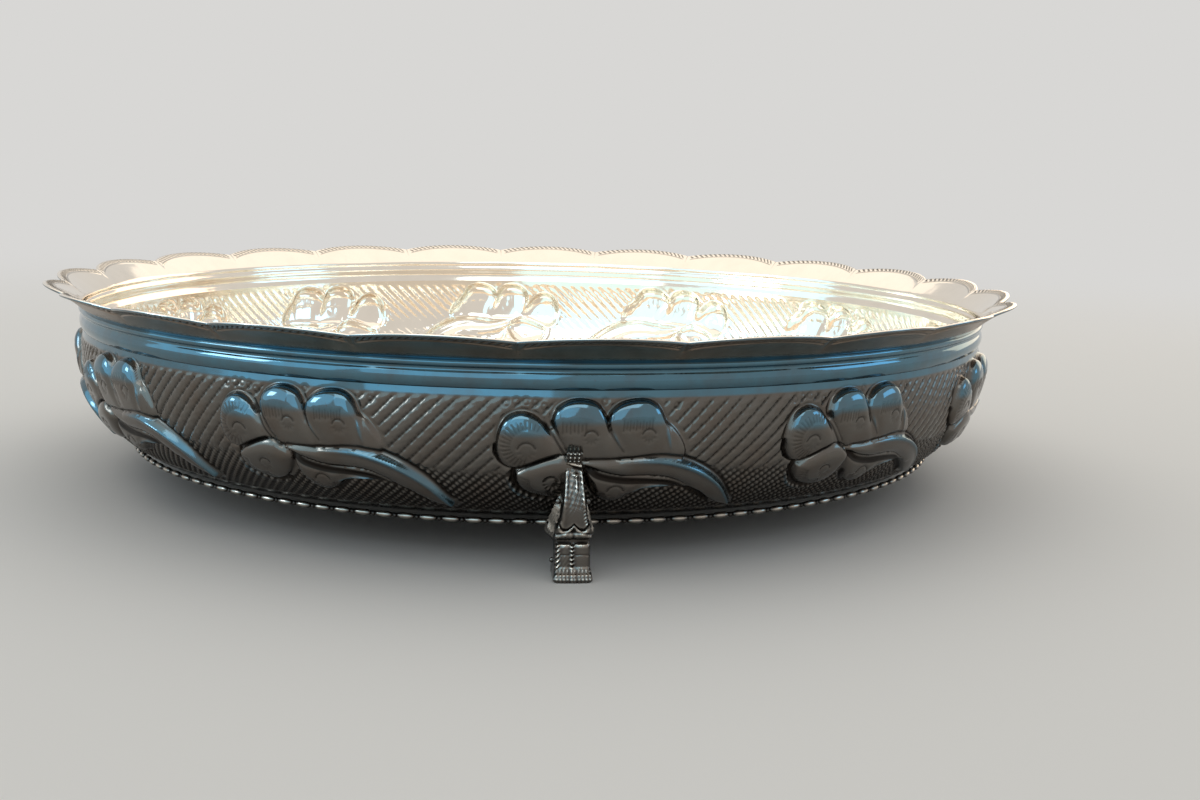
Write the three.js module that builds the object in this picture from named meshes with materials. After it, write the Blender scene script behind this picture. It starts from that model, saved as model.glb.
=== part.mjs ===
// A round footed dish of raised silver sheet: a scalloped, flared rim, a plain stepped neck,
// an embossed wall, a flat floor, a decorated wire round the base and three cast legs.
// Millimetres, +Z up, the soles stand on z = 0 and the first leg faces -Y.
import * as THREE from "three";

const degree = Math.PI / 180;

// Rim flange: its notches lie on a circle, and each scallop reaches out and up between two of them
const rimNotchRadius = 147;
const rimNotchHeight = 57.3;
const flangeWidth = 6;
const flangeRise = 4.9;
const scallopCount = 23;
const scallopReach = 4.5;
const scallopRise = 1.6;
const scallopCrown = 0.9;
const flareBend = 0.5;
const rimPhase = -5.53 * degree;

// Sheet that the dish is raised from
const sheetThickness = 0.8;

// Neck, between the flange and the embossed wall: from the top a bead, a groove, a broad band and a fillet
const neckBeadHeight = 1.8;
const neckGrooveHeight = 1.2;
const neckBandHeight = 3.9;
const neckFilletHeight = 1.7;
const neckSwell = 0.9;

// Wall: a belly that turns in to the foot
const wallSetIn = 0.3;
const footInset = 15.7;
const wallFootHeight = 10.9;
const bellyFullness = 0.9;
const bellyDrop = 13;
const footSweep = 13.5;
const footRise = 7.5;

// Floor
const floorSink = 1;
const floorCorner = 2.2;

// Embossed motifs on the wall: petals and a long leaf, drawn on a flat panel that is bent to its share of the wall
const motifCount = 12;
const panelWidth = 73.7;
const panelDrop = 39.2;
const motifOffset = 2.16;
const petalHeight = 3.6;
const lowPetalHeight = 2.3;
const leafHeight = 2.1;
const leafHalfWidth = 3.1;

// Decorated wire soldered round the foot of the wall
const wireRadius = 1;
const wireSeat = 0.97;

// Cast legs: a tab and a fluted strip on the wall, a knee with a leaf set back on either side, a shin and toes.
// Reaches are measured out from the foot of the wall.
const legCount = 3;
const legTopHeight = 32.2;
const tabHeight = 3.3;
const tabHalfWidth = 2;
const tabThickness = 1.3;
const collarHeight = 2.6;
const stripThickness = 1.9;
const crestHeight = 17.5;
const crestReach = 21;
const crestHalfWidth = 2.9;
const hemHeight = 13.2;
const hemHalfWidth = 3.9;
const kneeFootHeight = 10.8;
const kneeReach = 20;
const kneeHalfWidth = 4.5;
const wingTopHeight = 19;
const wingFootHeight = 9.1;
const wingHalfWidth = 5.7;
const wingSetback = 8.5;
const shinReach = 18.6;
const shinDepth = 7.5;
const shinHalfWidth = 4.25;
const toeHeight = 3.2;
const soleReach = 20.8;
const soleHalfWidth = 4.75;
const heelReach = 7;
const heelHeight = 1.5;
const fluteDepth = 0.45;

// Gap between soldered pieces
const seatClearance = 0.3;

// Facets
const columnsPerScallop = 4;
const wireSegments = 80;
const wireSides = 6;

// Places on the panel are given by how far they lie across from the motif's middle and down from the wall's top.
const petals = [
  { across: -13.6, down: 10.2, halfWidth: 7.4, halfHeight: 7.1, height: petalHeight },
  { across: -0.8, down: 6.8, halfWidth: 6.9, halfHeight: 6.9, height: petalHeight },
  { across: 12.9, down: 6.9, halfWidth: 6.9, halfHeight: 6.9, height: petalHeight },
  { across: -9.6, down: 21, halfWidth: 6.6, halfHeight: 5.6, height: lowPetalHeight },
  { across: 8.6, down: 23, halfWidth: 6.2, halfHeight: 4.8, height: lowPetalHeight },
];
const leafSpine = new THREE.CubicBezierCurve(
  new THREE.Vector2(1, 15.8),
  new THREE.Vector2(20, 18.6),
  new THREE.Vector2(31, 15.5),
  new THREE.Vector2(42, 30),
);

// The wall's facets follow the motif: columns at the petals' middles and edges, rows along the leaf.
const motifColumns = [-20.5, -17, -13.6, -10.2, -7.2, -4, -0.8, 2.5, 6.1, 9.4, 12.9, 16.4, 19.9, 25, 30.5, 36, 42.5];
const wallRows = [0, 2.4, 6.9, 10.6, 13.8, 16.6, 19.6, 23, 27, 32.5, panelDrop];

const silver = { color: 0xb9b6ae, metalness: 1, roughness: 0.2 };
const shadedSilver = { color: 0xa8a59d, metalness: 1, roughness: 0.28 };

// A dome that falls off to a rounded edge where distance reaches 1.
function dome(distance) {
  return distance < 1 ? (1 - distance ** 2) ** 0.65 : 0;
}

function leafWidthAt(t) {
  return leafHalfWidth * (1 - t ** 4) * Math.min(1, 0.4 + 1.8 * t);
}

const leafSamples = Array.from({ length: 41 }, (_, i) => {
  const t = i / 40;
  const point = leafSpine.getPoint(t);
  return { across: point.x, down: point.y, width: Math.max(leafWidthAt(t), 0.1) };
});

// How far the embossing stands out of the wall.
function relief(across, down) {
  let height = 0;
  for (const petal of petals) {
    const x = (across - petal.across) / petal.halfWidth;
    const y = (down - petal.down) / petal.halfHeight;
    height = Math.max(height, petal.height * dome(Math.hypot(x, y)));
  }
  for (const sample of leafSamples) {
    const away = Math.hypot(across - sample.across, down - sample.down) / sample.width;
    height = Math.max(height, leafHeight * dome(away));
  }
  return height;
}

// Levels and radii that follow from the rim's own
const neckTopHeight = rimNotchHeight - flangeRise;
const beadFoot = neckTopHeight - neckBeadHeight;
const grooveFoot = beadFoot - neckGrooveHeight;
const bandFoot = grooveFoot - neckBandHeight;
const wallTopHeight = bandFoot - neckFilletHeight;
const neckRadius = rimNotchRadius - flangeWidth;
const wallTopRadius = neckRadius - wallSetIn;
const wallFootRadius = wallTopRadius - footInset;
const floorHeight = wallFootHeight - floorSink;

// The wall's outer profile as a curve of radius and height, from its top to its foot.
const wallCurve = new THREE.CubicBezierCurve(
  new THREE.Vector2(wallTopRadius, wallTopHeight),
  new THREE.Vector2(wallTopRadius + bellyFullness, wallTopHeight - bellyDrop),
  new THREE.Vector2(wallFootRadius + footSweep, wallFootHeight + footRise),
  new THREE.Vector2(wallFootRadius, wallFootHeight),
);

// The place and outward normal on the wall of a place down the panel.
function wallPlace(down) {
  const u = Math.min(Math.max(down / panelDrop, 0), 1);
  const point = wallCurve.getPointAt(u);
  const tangent = wallCurve.getTangentAt(u);
  return { radius: point.x, height: point.y, out: -tangent.y, up: tangent.x };
}

// 1 in the middle of a scallop, 0 at its notches.
function arch(angle) {
  const turn = ((angle - rimPhase) * scallopCount) / (2 * Math.PI);
  const across = turn - Math.floor(turn) - 0.5;
  return 1 - 4 * across ** 2;
}

// A point of the flange, from 0 at its root to 1 at its scalloped edge.
function flangePoint(along, angle) {
  const crest = arch(angle);
  const reach = rimNotchRadius + scallopReach * crest - neckRadius;
  const rise = rimNotchHeight + scallopRise * crest - neckTopHeight;
  const bent = along + flareBend * along * (1 - along);
  const crown = scallopCrown * (crest - 0.5) * Math.sin(Math.PI * along);
  return { radius: neckRadius + reach * along, height: neckTopHeight + rise * bent + crown };
}

function evenAngles(count, phase) {
  const step = (2 * Math.PI) / count;
  const first = phase - step * Math.floor(phase / step);
  return Array.from({ length: count }, (_, i) => first + i * step);
}

function wallAngles() {
  const angles = [];
  for (let motif = 0; motif < motifCount; motif++) {
    for (const across of motifColumns) {
      const panels = motif + (across + motifOffset) / panelWidth;
      angles.push((((panels + motifCount) % motifCount) / motifCount) * 2 * Math.PI);
    }
  }
  return angles.sort((a, b) => a - b);
}

// The panel's own measure across at an angle round the wall. A panel runs on past its middle by its overhang.
function acrossPanel(angle) {
  const overhang = (motifColumns.at(-1) + motifColumns[0]) / 2;
  const panels = (angle / (2 * Math.PI)) * motifCount - (motifOffset + overhang) / panelWidth + 0.5;
  return (panels - Math.floor(panels) - 0.5) * panelWidth + overhang;
}

// Stations from the rim's edge down to the floor's centre. Each has its angles, its outer points
// and the profile's mean outward normal, along which the sheet has its thickness.
function dishStations() {
  const rimAngles = evenAngles(scallopCount * columnsPerScallop, rimPhase);
  const stations = [];
  for (const along of [1, 0.62, 0.28]) {
    stations.push({ angles: rimAngles, at: (angle) => flangePoint(along, angle) });
  }
  const neckProfile = [
    [neckRadius, neckTopHeight],
    [neckRadius + neckSwell, beadFoot + neckBeadHeight / 2],
    [neckRadius, grooveFoot + neckGrooveHeight / 2],
    [neckRadius + neckSwell, bandFoot + neckBandHeight / 2],
    [neckRadius, bandFoot],
  ];
  for (const [radius, height] of neckProfile) {
    stations.push({ angles: rimAngles, at: () => ({ radius, height }) });
  }
  const angles = wallAngles();
  for (const down of wallRows) {
    const place = wallPlace(down);
    const at = (angle) => {
      const height = relief(acrossPanel(angle), down);
      return { radius: place.radius + place.out * height, height: place.height + place.up * height };
    };
    stations.push({ angles, at, out: place.out, up: place.up });
  }
  const floorRings = [
    [wallFootRadius - floorCorner, 72],
    [wallFootRadius * 0.66, 36],
    [wallFootRadius * 0.22, 12],
    [0, 1],
  ];
  for (const [radius, count] of floorRings) {
    const at = () => ({ radius, height: floorHeight });
    stations.push({ angles: evenAngles(count, 0), at, out: 0, up: -1 });
  }
  return stations;
}

// Gives each station that lacks one the normal of the mean profile through its neighbours.
function addNormals(stations) {
  const mean = stations.map((station) => {
    const points = station.angles.map(station.at);
    const sum = points.reduce((s, p) => ({ radius: s.radius + p.radius, height: s.height + p.height }));
    return { radius: sum.radius / points.length, height: sum.height / points.length };
  });
  stations.forEach((station, i) => {
    if (station.out !== undefined) {
      return;
    }
    const before = mean[Math.max(i - 1, 0)];
    const after = mean[Math.min(i + 1, mean.length - 1)];
    const run = after.radius - before.radius;
    const drop = after.height - before.height;
    const length = Math.hypot(run, drop);
    station.out = -drop / length;
    station.up = run / length;
  });
}

function circlePoint(angle, radius, height) {
  return [radius * Math.sin(angle), -radius * Math.cos(angle), height];
}

// Joins two rings of any point counts with one band of triangles.
function stitch(above, below, faces) {
  const turn = (ring, i) => ring.angles[i % ring.angles.length] + 2 * Math.PI * Math.floor(i / ring.angles.length);
  const index = (ring, i) => ring.first + (i % ring.angles.length);
  const counts = [above, below].map((ring) => (ring.angles.length > 1 ? ring.angles.length : 0));
  let i = 0;
  let j = 0;
  while (i < counts[0] || j < counts[1]) {
    const stepAbove = j >= counts[1] || (i < counts[0] && turn(above, i + 1) <= turn(below, j + 1));
    if (stepAbove) {
      faces.push(index(above, i), index(below, j), index(above, i + 1));
      i++;
    } else {
      faces.push(index(above, i), index(below, j), index(below, j + 1));
      j++;
    }
  }
}

function geometryOf(points, faces) {
  const geometry = new THREE.BufferGeometry();
  geometry.setAttribute("position", new THREE.Float32BufferAttribute(points.flat(), 3));
  geometry.setIndex(faces);
  geometry.computeVertexNormals();
  return geometry;
}

// One closed shell: down the outside of the sheet, across the floor and back up the inside.
function dishGeometry() {
  const stations = dishStations();
  addNormals(stations);
  const points = [];
  const rings = [];
  const addRing = (station, inset) => {
    rings.push({ first: points.length, angles: station.angles });
    for (const angle of station.angles) {
      const place = station.at(angle);
      const radius = place.radius - inset * station.out;
      points.push(circlePoint(angle, radius, place.height - inset * station.up));
    }
  };
  stations.forEach((station) => addRing(station, 0));
  stations.reverse().forEach((station) => addRing(station, sheetThickness));
  const faces = [];
  rings.forEach((ring, i) => {
    const next = rings[(i + 1) % rings.length];
    if (ring.angles.length > 1 || next.angles.length > 1) {
      stitch(ring, next, faces);
    }
  });
  return geometryOf(points, faces);
}

// The wire lies in the angle under the wall, its clearance away from the sheet.
function wireCentre() {
  const place = wallPlace(wireSeat * panelDrop);
  const away = wireRadius + seatClearance;
  return { radius: place.radius + place.out * away, height: place.height + place.up * away };
}

function wireGeometry() {
  const centre = wireCentre();
  const profile = [];
  for (let side = 0; side <= wireSides; side++) {
    const angle = ((side % wireSides) / wireSides) * 2 * Math.PI;
    const radius = centre.radius + wireRadius * Math.cos(angle);
    profile.push(new THREE.Vector2(radius, centre.height + wireRadius * Math.sin(angle)));
  }
  const geometry = new THREE.LatheGeometry(profile, wireSegments);
  geometry.rotateX(Math.PI / 2);
  return geometry;
}

// How far down the panel the wall has a height.
function downAt(height) {
  let low = 0;
  let high = panelDrop;
  for (let i = 0; i < 30; i++) {
    const middle = (low + high) / 2;
    if (wallPlace(middle).height > height) {
      low = middle;
    } else {
      high = middle;
    }
  }
  return low;
}

// The radius that a leg's back keeps to at a height, over its own width: clear of the wall with its embossing,
// and of the wire.
function legBackRadius(height, halfWidth) {
  const wire = wireCentre();
  const besideWire = height < wire.height + wireRadius + seatClearance;
  const wireReach = besideWire ? wire.radius + wireRadius + seatClearance : 0;
  const down = downAt(height);
  const across = [-1, -0.5, 0, 0.5, 1].map((share) => share * (halfWidth + 0.5) - motifOffset);
  const standing = across.flatMap((x) => [-3, 0, 3].map((y) => relief(x, down + y)));
  return Math.max(wallPlace(down).radius + Math.max(...standing) + seatClearance, wireReach);
}

// One level section of a leg: a fluted strip in front, wings set back beside it, and a flat back.
function legSection(height, front, stripHalfWidth, wingHalfWidth, back) {
  const setback = Math.min(wingSetback, (front - back) * 0.6);
  const side = [
    [stripHalfWidth * 0.45, front],
    [stripHalfWidth * 0.85, front - 0.2],
    [stripHalfWidth, front - setback * 0.4],
    [(stripHalfWidth + wingHalfWidth) / 2, front - setback * 0.8],
    [wingHalfWidth, front - setback * 1.1],
    [wingHalfWidth * 0.96, back],
  ];
  const right = side.map(([x, y]) => [x, -y, height]);
  const left = side.map(([x, y]) => [-x, -y, height]).reverse();
  return [...right, ...left, [0, -(front - fluteDepth), height]];
}

// How far a leg's leaves stand out to either side at a height.
function wingHalfWidthAt(height) {
  const share = THREE.MathUtils.clamp((wingTopHeight - height) / (wingTopHeight - wingFootHeight), 0, 1);
  return THREE.MathUtils.lerp(crestHalfWidth, wingHalfWidth, share);
}

// The part of a leg from its tab down to the crest of its strip.
function legAboveCrest() {
  const tabFoot = legTopHeight - tabHeight;
  const stripTop = tabFoot - collarHeight;
  const places = [
    [legTopHeight, tabThickness - 0.4, tabHalfWidth - 0.25],
    [legTopHeight - 0.6, tabThickness, tabHalfWidth],
    [tabFoot, tabThickness, tabHalfWidth],
    [tabFoot - 0.6, tabThickness - 0.4, tabHalfWidth - 0.1],
    [stripTop, stripThickness, tabHalfWidth + 0.1],
  ];
  const sections = places.map(([height, thickness, halfWidth]) => {
    const back = legBackRadius(height, halfWidth);
    return legSection(height, back + thickness, halfWidth, halfWidth, back);
  });
  const topFront = legBackRadius(stripTop, tabHalfWidth) + stripThickness;
  const crestFront = wallFootRadius + crestReach;
  for (const share of [0.3, 0.58, 0.8, 1]) {
    const height = THREE.MathUtils.lerp(stripTop, crestHeight, share);
    const front = THREE.MathUtils.lerp(topFront, crestFront, Math.sin((share * Math.PI) / 2));
    const strip = THREE.MathUtils.lerp(tabHalfWidth + 0.1, crestHalfWidth, share);
    const wing = Math.max(strip, share * wingHalfWidthAt(height));
    const back = legBackRadius(height, wing);
    sections.push(legSection(height, Math.max(front, back + stripThickness), strip, wing, back));
  }
  return sections;
}

// The part of a leg from its crest to the foot of its knee, which lies on the wall and beside the wire.
function legKnee() {
  const crestFront = wallFootRadius + crestReach;
  const kneeFront = wallFootRadius + kneeReach;
  const shinFront = wallFootRadius + shinReach;
  const middle = (crestHeight + hemHeight) / 2;
  const places = [
    [middle, crestFront - 0.1, crestHalfWidth + 0.3],
    [hemHeight + 0.3, crestFront - 0.4, hemHalfWidth],
    [hemHeight - 0.5, kneeFront, kneeHalfWidth - 0.2],
    [kneeFootHeight, kneeFront, kneeHalfWidth],
    [kneeFootHeight - 0.6, shinFront - 0.3, kneeHalfWidth - 0.3],
    [wingFootHeight, shinFront - 0.4, shinHalfWidth - 0.1],
  ];
  return places.map(([height, front, halfWidth]) => {
    const wing = Math.max(halfWidth, wingHalfWidthAt(height));
    return legSection(height, front, halfWidth, wing, legBackRadius(height, wing));
  });
}

// Shin, toes and sole.
function legFoot() {
  const shinFront = wallFootRadius + shinReach;
  const shinBack = shinFront - shinDepth;
  const soleFront = wallFootRadius + soleReach;
  const heel = wallFootRadius + heelReach;
  const places = [
    [wingFootHeight - 0.6, shinFront, shinHalfWidth, (shinBack + heel) / 2],
    [(wingFootHeight + toeHeight) / 2, shinFront - 0.1, shinHalfWidth, shinBack],
    [toeHeight, shinFront, shinHalfWidth + 0.1, shinBack],
    [heelHeight, soleFront - 0.4, soleHalfWidth - 0.1, heel + 0.8],
    [0.6, soleFront, soleHalfWidth, heel],
    [0, soleFront - 0.3, soleHalfWidth - 0.1, heel + 0.2],
  ];
  return places.map(([height, front, halfWidth, back]) => legSection(height, front, halfWidth, halfWidth, back));
}

function legSections() {
  return [...legAboveCrest(), ...legKnee(), ...legFoot()];
}

// A closed loft through level sections, from the highest to the lowest.
function loftGeometry(sections) {
  const points = sections.flat();
  const count = sections[0].length;
  const faces = [];
  for (let level = 0; level < sections.length - 1; level++) {
    for (let i = 0; i < count; i++) {
      const a = level * count + i;
      const b = level * count + ((i + 1) % count);
      faces.push(a, a + count, b, b, a + count, b + count);
    }
  }
  const addCap = (level, flip) => {
    const outline = sections[level].map(([x, y]) => new THREE.Vector2(x, y));
    for (const face of THREE.ShapeUtils.triangulateShape(outline, [])) {
      const corners = face.map((corner) => level * count + corner);
      faces.push(...(flip ? corners.reverse() : corners));
    }
  };
  addCap(0, false);
  addCap(sections.length - 1, true);
  return geometryOf(points, faces);
}

function namedMesh(name, geometry, finish) {
  const mesh = new THREE.Mesh(geometry, new THREE.MeshStandardMaterial(finish));
  mesh.name = name;
  return mesh;
}

const dish = new THREE.Group();
dish.add(namedMesh("dish", dishGeometry(), silver));
dish.add(namedMesh("base_bead_wire", wireGeometry(), shadedSilver));
const legNames = ["leg_front", "leg_rear_right", "leg_rear_left"];
for (let i = 0; i < legCount; i++) {
  const leg = namedMesh(legNames[i], loftGeometry(legSections()), shadedSilver);
  leg.rotation.z = (i / legCount) * 2 * Math.PI;
  dish.add(leg);
}

export default dish;
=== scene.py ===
"""A round footed dish of raised and chased silver, modelled piece by piece on its CAD frame.

Shapes are worked out in millimetres and turned to metres when a mesh gets its points.
Across runs round the dish, to the right as seen from outside. Down runs from the wall's top to its foot.
"""

import math

import bpy
import numpy as np
from bpy.props import FloatProperty, FloatVectorProperty, IntProperty, PointerProperty
from mathutils import Matrix, Vector


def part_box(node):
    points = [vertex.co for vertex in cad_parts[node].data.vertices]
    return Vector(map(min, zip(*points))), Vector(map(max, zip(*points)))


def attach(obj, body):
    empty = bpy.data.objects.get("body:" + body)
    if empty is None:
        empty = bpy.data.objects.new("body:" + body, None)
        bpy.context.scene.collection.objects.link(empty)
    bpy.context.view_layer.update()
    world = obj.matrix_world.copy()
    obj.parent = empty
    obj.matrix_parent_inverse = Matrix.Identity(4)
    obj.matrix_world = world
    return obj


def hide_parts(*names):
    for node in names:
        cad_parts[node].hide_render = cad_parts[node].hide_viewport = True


bl_info = {
    "name": "Footed Silver Dish",
    "version": (1, 0, 0),
    "blender": (4, 5, 0),
    "location": "View3D > Sidebar > Silver Dish",
    "description": "Models a silver dish with a scalloped rim, a chased wall, a bead wire and cast legs",
    "category": "Add Mesh",
}

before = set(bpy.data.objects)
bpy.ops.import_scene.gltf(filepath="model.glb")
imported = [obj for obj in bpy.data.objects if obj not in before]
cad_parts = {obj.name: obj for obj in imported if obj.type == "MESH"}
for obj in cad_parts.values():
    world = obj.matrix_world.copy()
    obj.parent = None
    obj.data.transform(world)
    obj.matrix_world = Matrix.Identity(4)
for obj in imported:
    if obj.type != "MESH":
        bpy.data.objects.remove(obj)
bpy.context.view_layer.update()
dish_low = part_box("dish")[0]

MM = 0.001
BODY = "root"

# Sheet that the dish is raised from
SHEET = 0.8

# Rim flange: its notches lie on a circle, and each scallop reaches out and up between two of them
NOTCH_RADIUS = 147.0
NOTCH_HEIGHT = 57.3
FLANGE_WIDTH = 6.0
FLANGE_RISE = 4.9
SCALLOPS = 23
SCALLOP_REACH = 4.3
SCALLOP_RISE = 1.42
SCALLOP_CROWN = 0.2
FLARE_BEND = 0.38
RIM_PHASE = math.radians(-5.53)

# Neck, from the flange down: a bead, a groove, a broad band, and a crease over a fillet, which is painted
# bright with the worn colour's highlight
NECK_RADIUS = NOTCH_RADIUS - FLANGE_WIDTH
NECK_TOP = NOTCH_HEIGHT - FLANGE_RISE
BEAD_HEIGHT = 1.8
GROOVE_HEIGHT = 1.2
BAND_HEIGHT = 3.9
FILLET_HEIGHT = 1.7
NECK_SWELL = 0.62
GROOVE_DEPTH = 0.3
CREASE_DEPTH = 0.55
BAND_TOP = NECK_TOP - BEAD_HEIGHT - GROOVE_HEIGHT
CREASE_HEIGHT = BAND_TOP - BAND_HEIGHT

# Chasing under the flange: a line along the edge, slanted ticks outside it, a crease and a bulb at each notch
EDGE_LINE_PLACE = 3.3
EDGE_LINE_DEPTH = 0.26
EDGE_TICK_WIDTH = 0.44
NOTCH_CREASE_DEPTH = 0.2
NOTCH_BULB_PLACE = 4.0
NOTCH_BULB_DEPTH = 0.12

# Rows of the rim's mesh from the crease up to the edge, round the edge, and back down inside
BAND_ROWS = 16
GROOVE_ROWS = 5
BEAD_ROWS = 10
FLANGE_ROWS = 30
NECK_ROWS = BAND_ROWS + GROOVE_ROWS + BEAD_ROWS
OUTER_ROWS = NECK_ROWS + FLANGE_ROWS
EDGE_TURNS = (45, 90, 135)
INNER_ROWS = np.r_[OUTER_ROWS - 1:NECK_ROWS - 1:-1, NECK_ROWS - 1:0:-2, 0]
SCALLOP_COLUMNS = 90
RIM_LENGTHS = (0, 6, 12, 18, SCALLOPS)

# Columns and rows of one motif's outside and inside, and of a leg
OUTSIDE_GRID = (248, 160)
INSIDE_GRID = (136, 88)
LEG_GRID = (144, 190)

# Wall: a belly that turns in to the foot, and the floor
WALL_TOP = CREASE_HEIGHT - FILLET_HEIGHT
WALL_TOP_RADIUS = NECK_RADIUS - 0.3
FLOOR_HEIGHT = dish_low.z / MM
FOOT_HEIGHT = FLOOR_HEIGHT + 1.0
FOOT_RADIUS = WALL_TOP_RADIUS - 15.7
CORNER_RADIUS = FOOT_RADIUS - 2.2
FLOOR_RADIUS = 118.0
WALL_DROP = 39.2
WALL_POINTS = (
    (WALL_TOP_RADIUS, WALL_TOP),
    (WALL_TOP_RADIUS + 0.9, WALL_TOP - 13),
    (FOOT_RADIUS + 13.5, FOOT_HEIGHT + 7.5),
    (FOOT_RADIUS, FOOT_HEIGHT),
)
# Points of the sheet's line over the fillet and over the flat strip that meets the floor
FILLET_POINTS = 14
FLAT_POINTS = 14

# Motifs round the wall
MOTIFS = 12
PANEL_WIDTH = 73.7
PANEL_OVERHANG = 9.0
MOTIF_OFFSET = 2.16
HATCH_LINES = MOTIFS * 19
# How much a motif may differ: its turn, its shift right and down, and its stretch across and down
HAND_SWINGS = (0.014, 0.35, 0.25, 0.012, 0.012)
# How far down the petals' tops are worn and painted bright as a highlight, and how much lower that is on the
# left petal
WORN_AND_HIGHLIT_DOWN_TO = 5.4
LEFT_WORN_AND_HIGHLIT_LOWER = 3.0
# Where the hatching turns to grains, and where it ends over the wire
GRAINS_FROM, GRAINS_FULL = 16.5, 19.5
HATCH_END = (33.2, 34.6)
# Painted shade that thickens down the wall, where it mirrors the shadowed floor
FOOT_PAINTED_SHADE = 0.17

# Raised forms: the points that an outline runs through, the width over which it rounds off, the height at its
# top and at its foot, how far down the top and the foot lie, and how much it presses down what it lies over
FORMS = (
    # Ground that the three upper petals share
    (((-19.6, 9.0), (-14.0, 6.4), (-8.2, 7.2), (-1.0, 3.6), (5.7, 5.4), (12.4, 3.6), (19.4, 4.6),
      (24.4, 9.6), (25.4, 14.4), (20.0, 17.4), (10.0, 18.0), (1.0, 17.6), (-6.0, 16.4), (-13.0, 17.4),
      (-18.6, 16.2)), 6.2, 2.2, 1.7, 5.0, 15.0, 0.0),
    # Upper petals: left, middle and right
    (((-20.8, 12.0), (-20.3, 8.7), (-19.1, 5.7), (-17.2, 4.0), (-14.5, 3.3), (-11.6, 4.1), (-9.4, 5.9),
      (-7.2, 8.5), (-5.0, 11.2), (-3.6, 13.6), (-5.6, 16.4), (-9.4, 17.4), (-13.0, 18.0), (-16.4, 17.7),
      (-18.5, 17.1), (-20.2, 14.9)), 4.4, 2.9, 1.8, 8.0, 16.0, 0.0),
    (((-7.6, 5.2), (-6.6, 2.4), (-3.8, 0.5), (-0.2, 0.0), (3.4, 1.1), (5.5, 4.1), (7.0, 7.6), (9.2, 10.6),
      (11.0, 13.6), (9.0, 17.8), (2.0, 18.0), (-2.6, 16.4), (-5.2, 12.4), (-6.8, 8.4)),
      4.4, 3.0, 1.8, 5.0, 14.5, 0.0),
    (((5.3, 5.2), (6.2, 2.9), (8.4, 1.0), (11.6, 0.0), (15.2, 0.0), (17.9, 1.4), (19.6, 4.4), (20.7, 8.2),
      (21.6, 12.4), (21.6, 17.0), (15.0, 18.0), (9.4, 17.6), (7.6, 11.4), (6.0, 7.6)),
      4.4, 3.0, 1.8, 5.0, 14.0, 0.0),
    # Lower left petal
    (((-16.0, 18.4), (-15.8, 21.0), (-13.9, 23.8), (-10.4, 25.5), (-6.7, 26.0), (-3.2, 24.8),
      (-0.6, 22.0), (1.2, 18.0), (0.0, 15.4), (-2.8, 13.6), (-6.3, 13.4), (-9.6, 14.5), (-13.0, 16.2)),
      4.2, 2.8, 2.0, 17.0, 25.0, 0.7),
    # Bottom petal, whose tail runs on under the leaf
    (((0.8, 17.0), (1.6, 21.6), (3.4, 24.6), (6.0, 26.8), (9.6, 27.1), (12.8, 25.0), (15.2, 22.8),
      (20.0, 22.2), (26.0, 22.7), (30.6, 23.4), (26.0, 20.0), (17.1, 17.6), (9.6, 17.0), (4.4, 16.4)),
      3.2, 2.1, 2.2, 18.0, 24.0, 0.5),
    # Long leaf
    (((-2.4, 14.8), (1.2, 14.5), (8.0, 14.3), (13.0, 13.8), (18.1, 13.6), (24.3, 14.8), (30.6, 17.5),
      (36.1, 21.8), (41.2, 28.4), (42.6, 31.0), (39.4, 30.4), (35.9, 28.7), (29.6, 23.9), (22.9, 20.3),
      (17.1, 19.3), (9.6, 19.2), (2.2, 17.2)), 2.8, 2.3, 1.6, 15.0, 28.0, 0.7),
)

# Sharp ridges: the points that one runs through, its half-width, and its height at its head, middle and tail
RIDGES = (
    # Bright rib along the leaf's upper edge
    (((10.0, 14.9), (18.1, 14.5), (24.4, 15.6), (30.8, 18.3), (36.5, 22.6), (41.6, 29.4)),
      0.7, 0.2, 1.05, 0.7),
    # Right flanks of the middle and the right petal
    (((6.2, 5.6), (7.5, 8.6), (9.0, 11.2), (10.6, 13.4)), 0.45, 0.1, 0.5, 0.0),
    (((19.3, 5.0), (20.2, 8.0), (21.0, 11.0), (21.9, 14.0)), 0.5, 0.1, 0.65, 0.0),
    # Tail of the bottom petal
    (((13.4, 22.9), (17.0, 21.7), (22.0, 21.7), (27.0, 22.3), (31.4, 23.5)), 0.42, 0.5, 0.7, 0.1),
    # Border outside the moat of the lower left petal
    (((-17.9, 18.4), (-17.8, 21.6), (-15.9, 25.0), (-12.4, 27.3), (-8.0, 28.1), (-4.0, 27.6)),
      0.6, 0.1, 0.55, 0.1),
)

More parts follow.
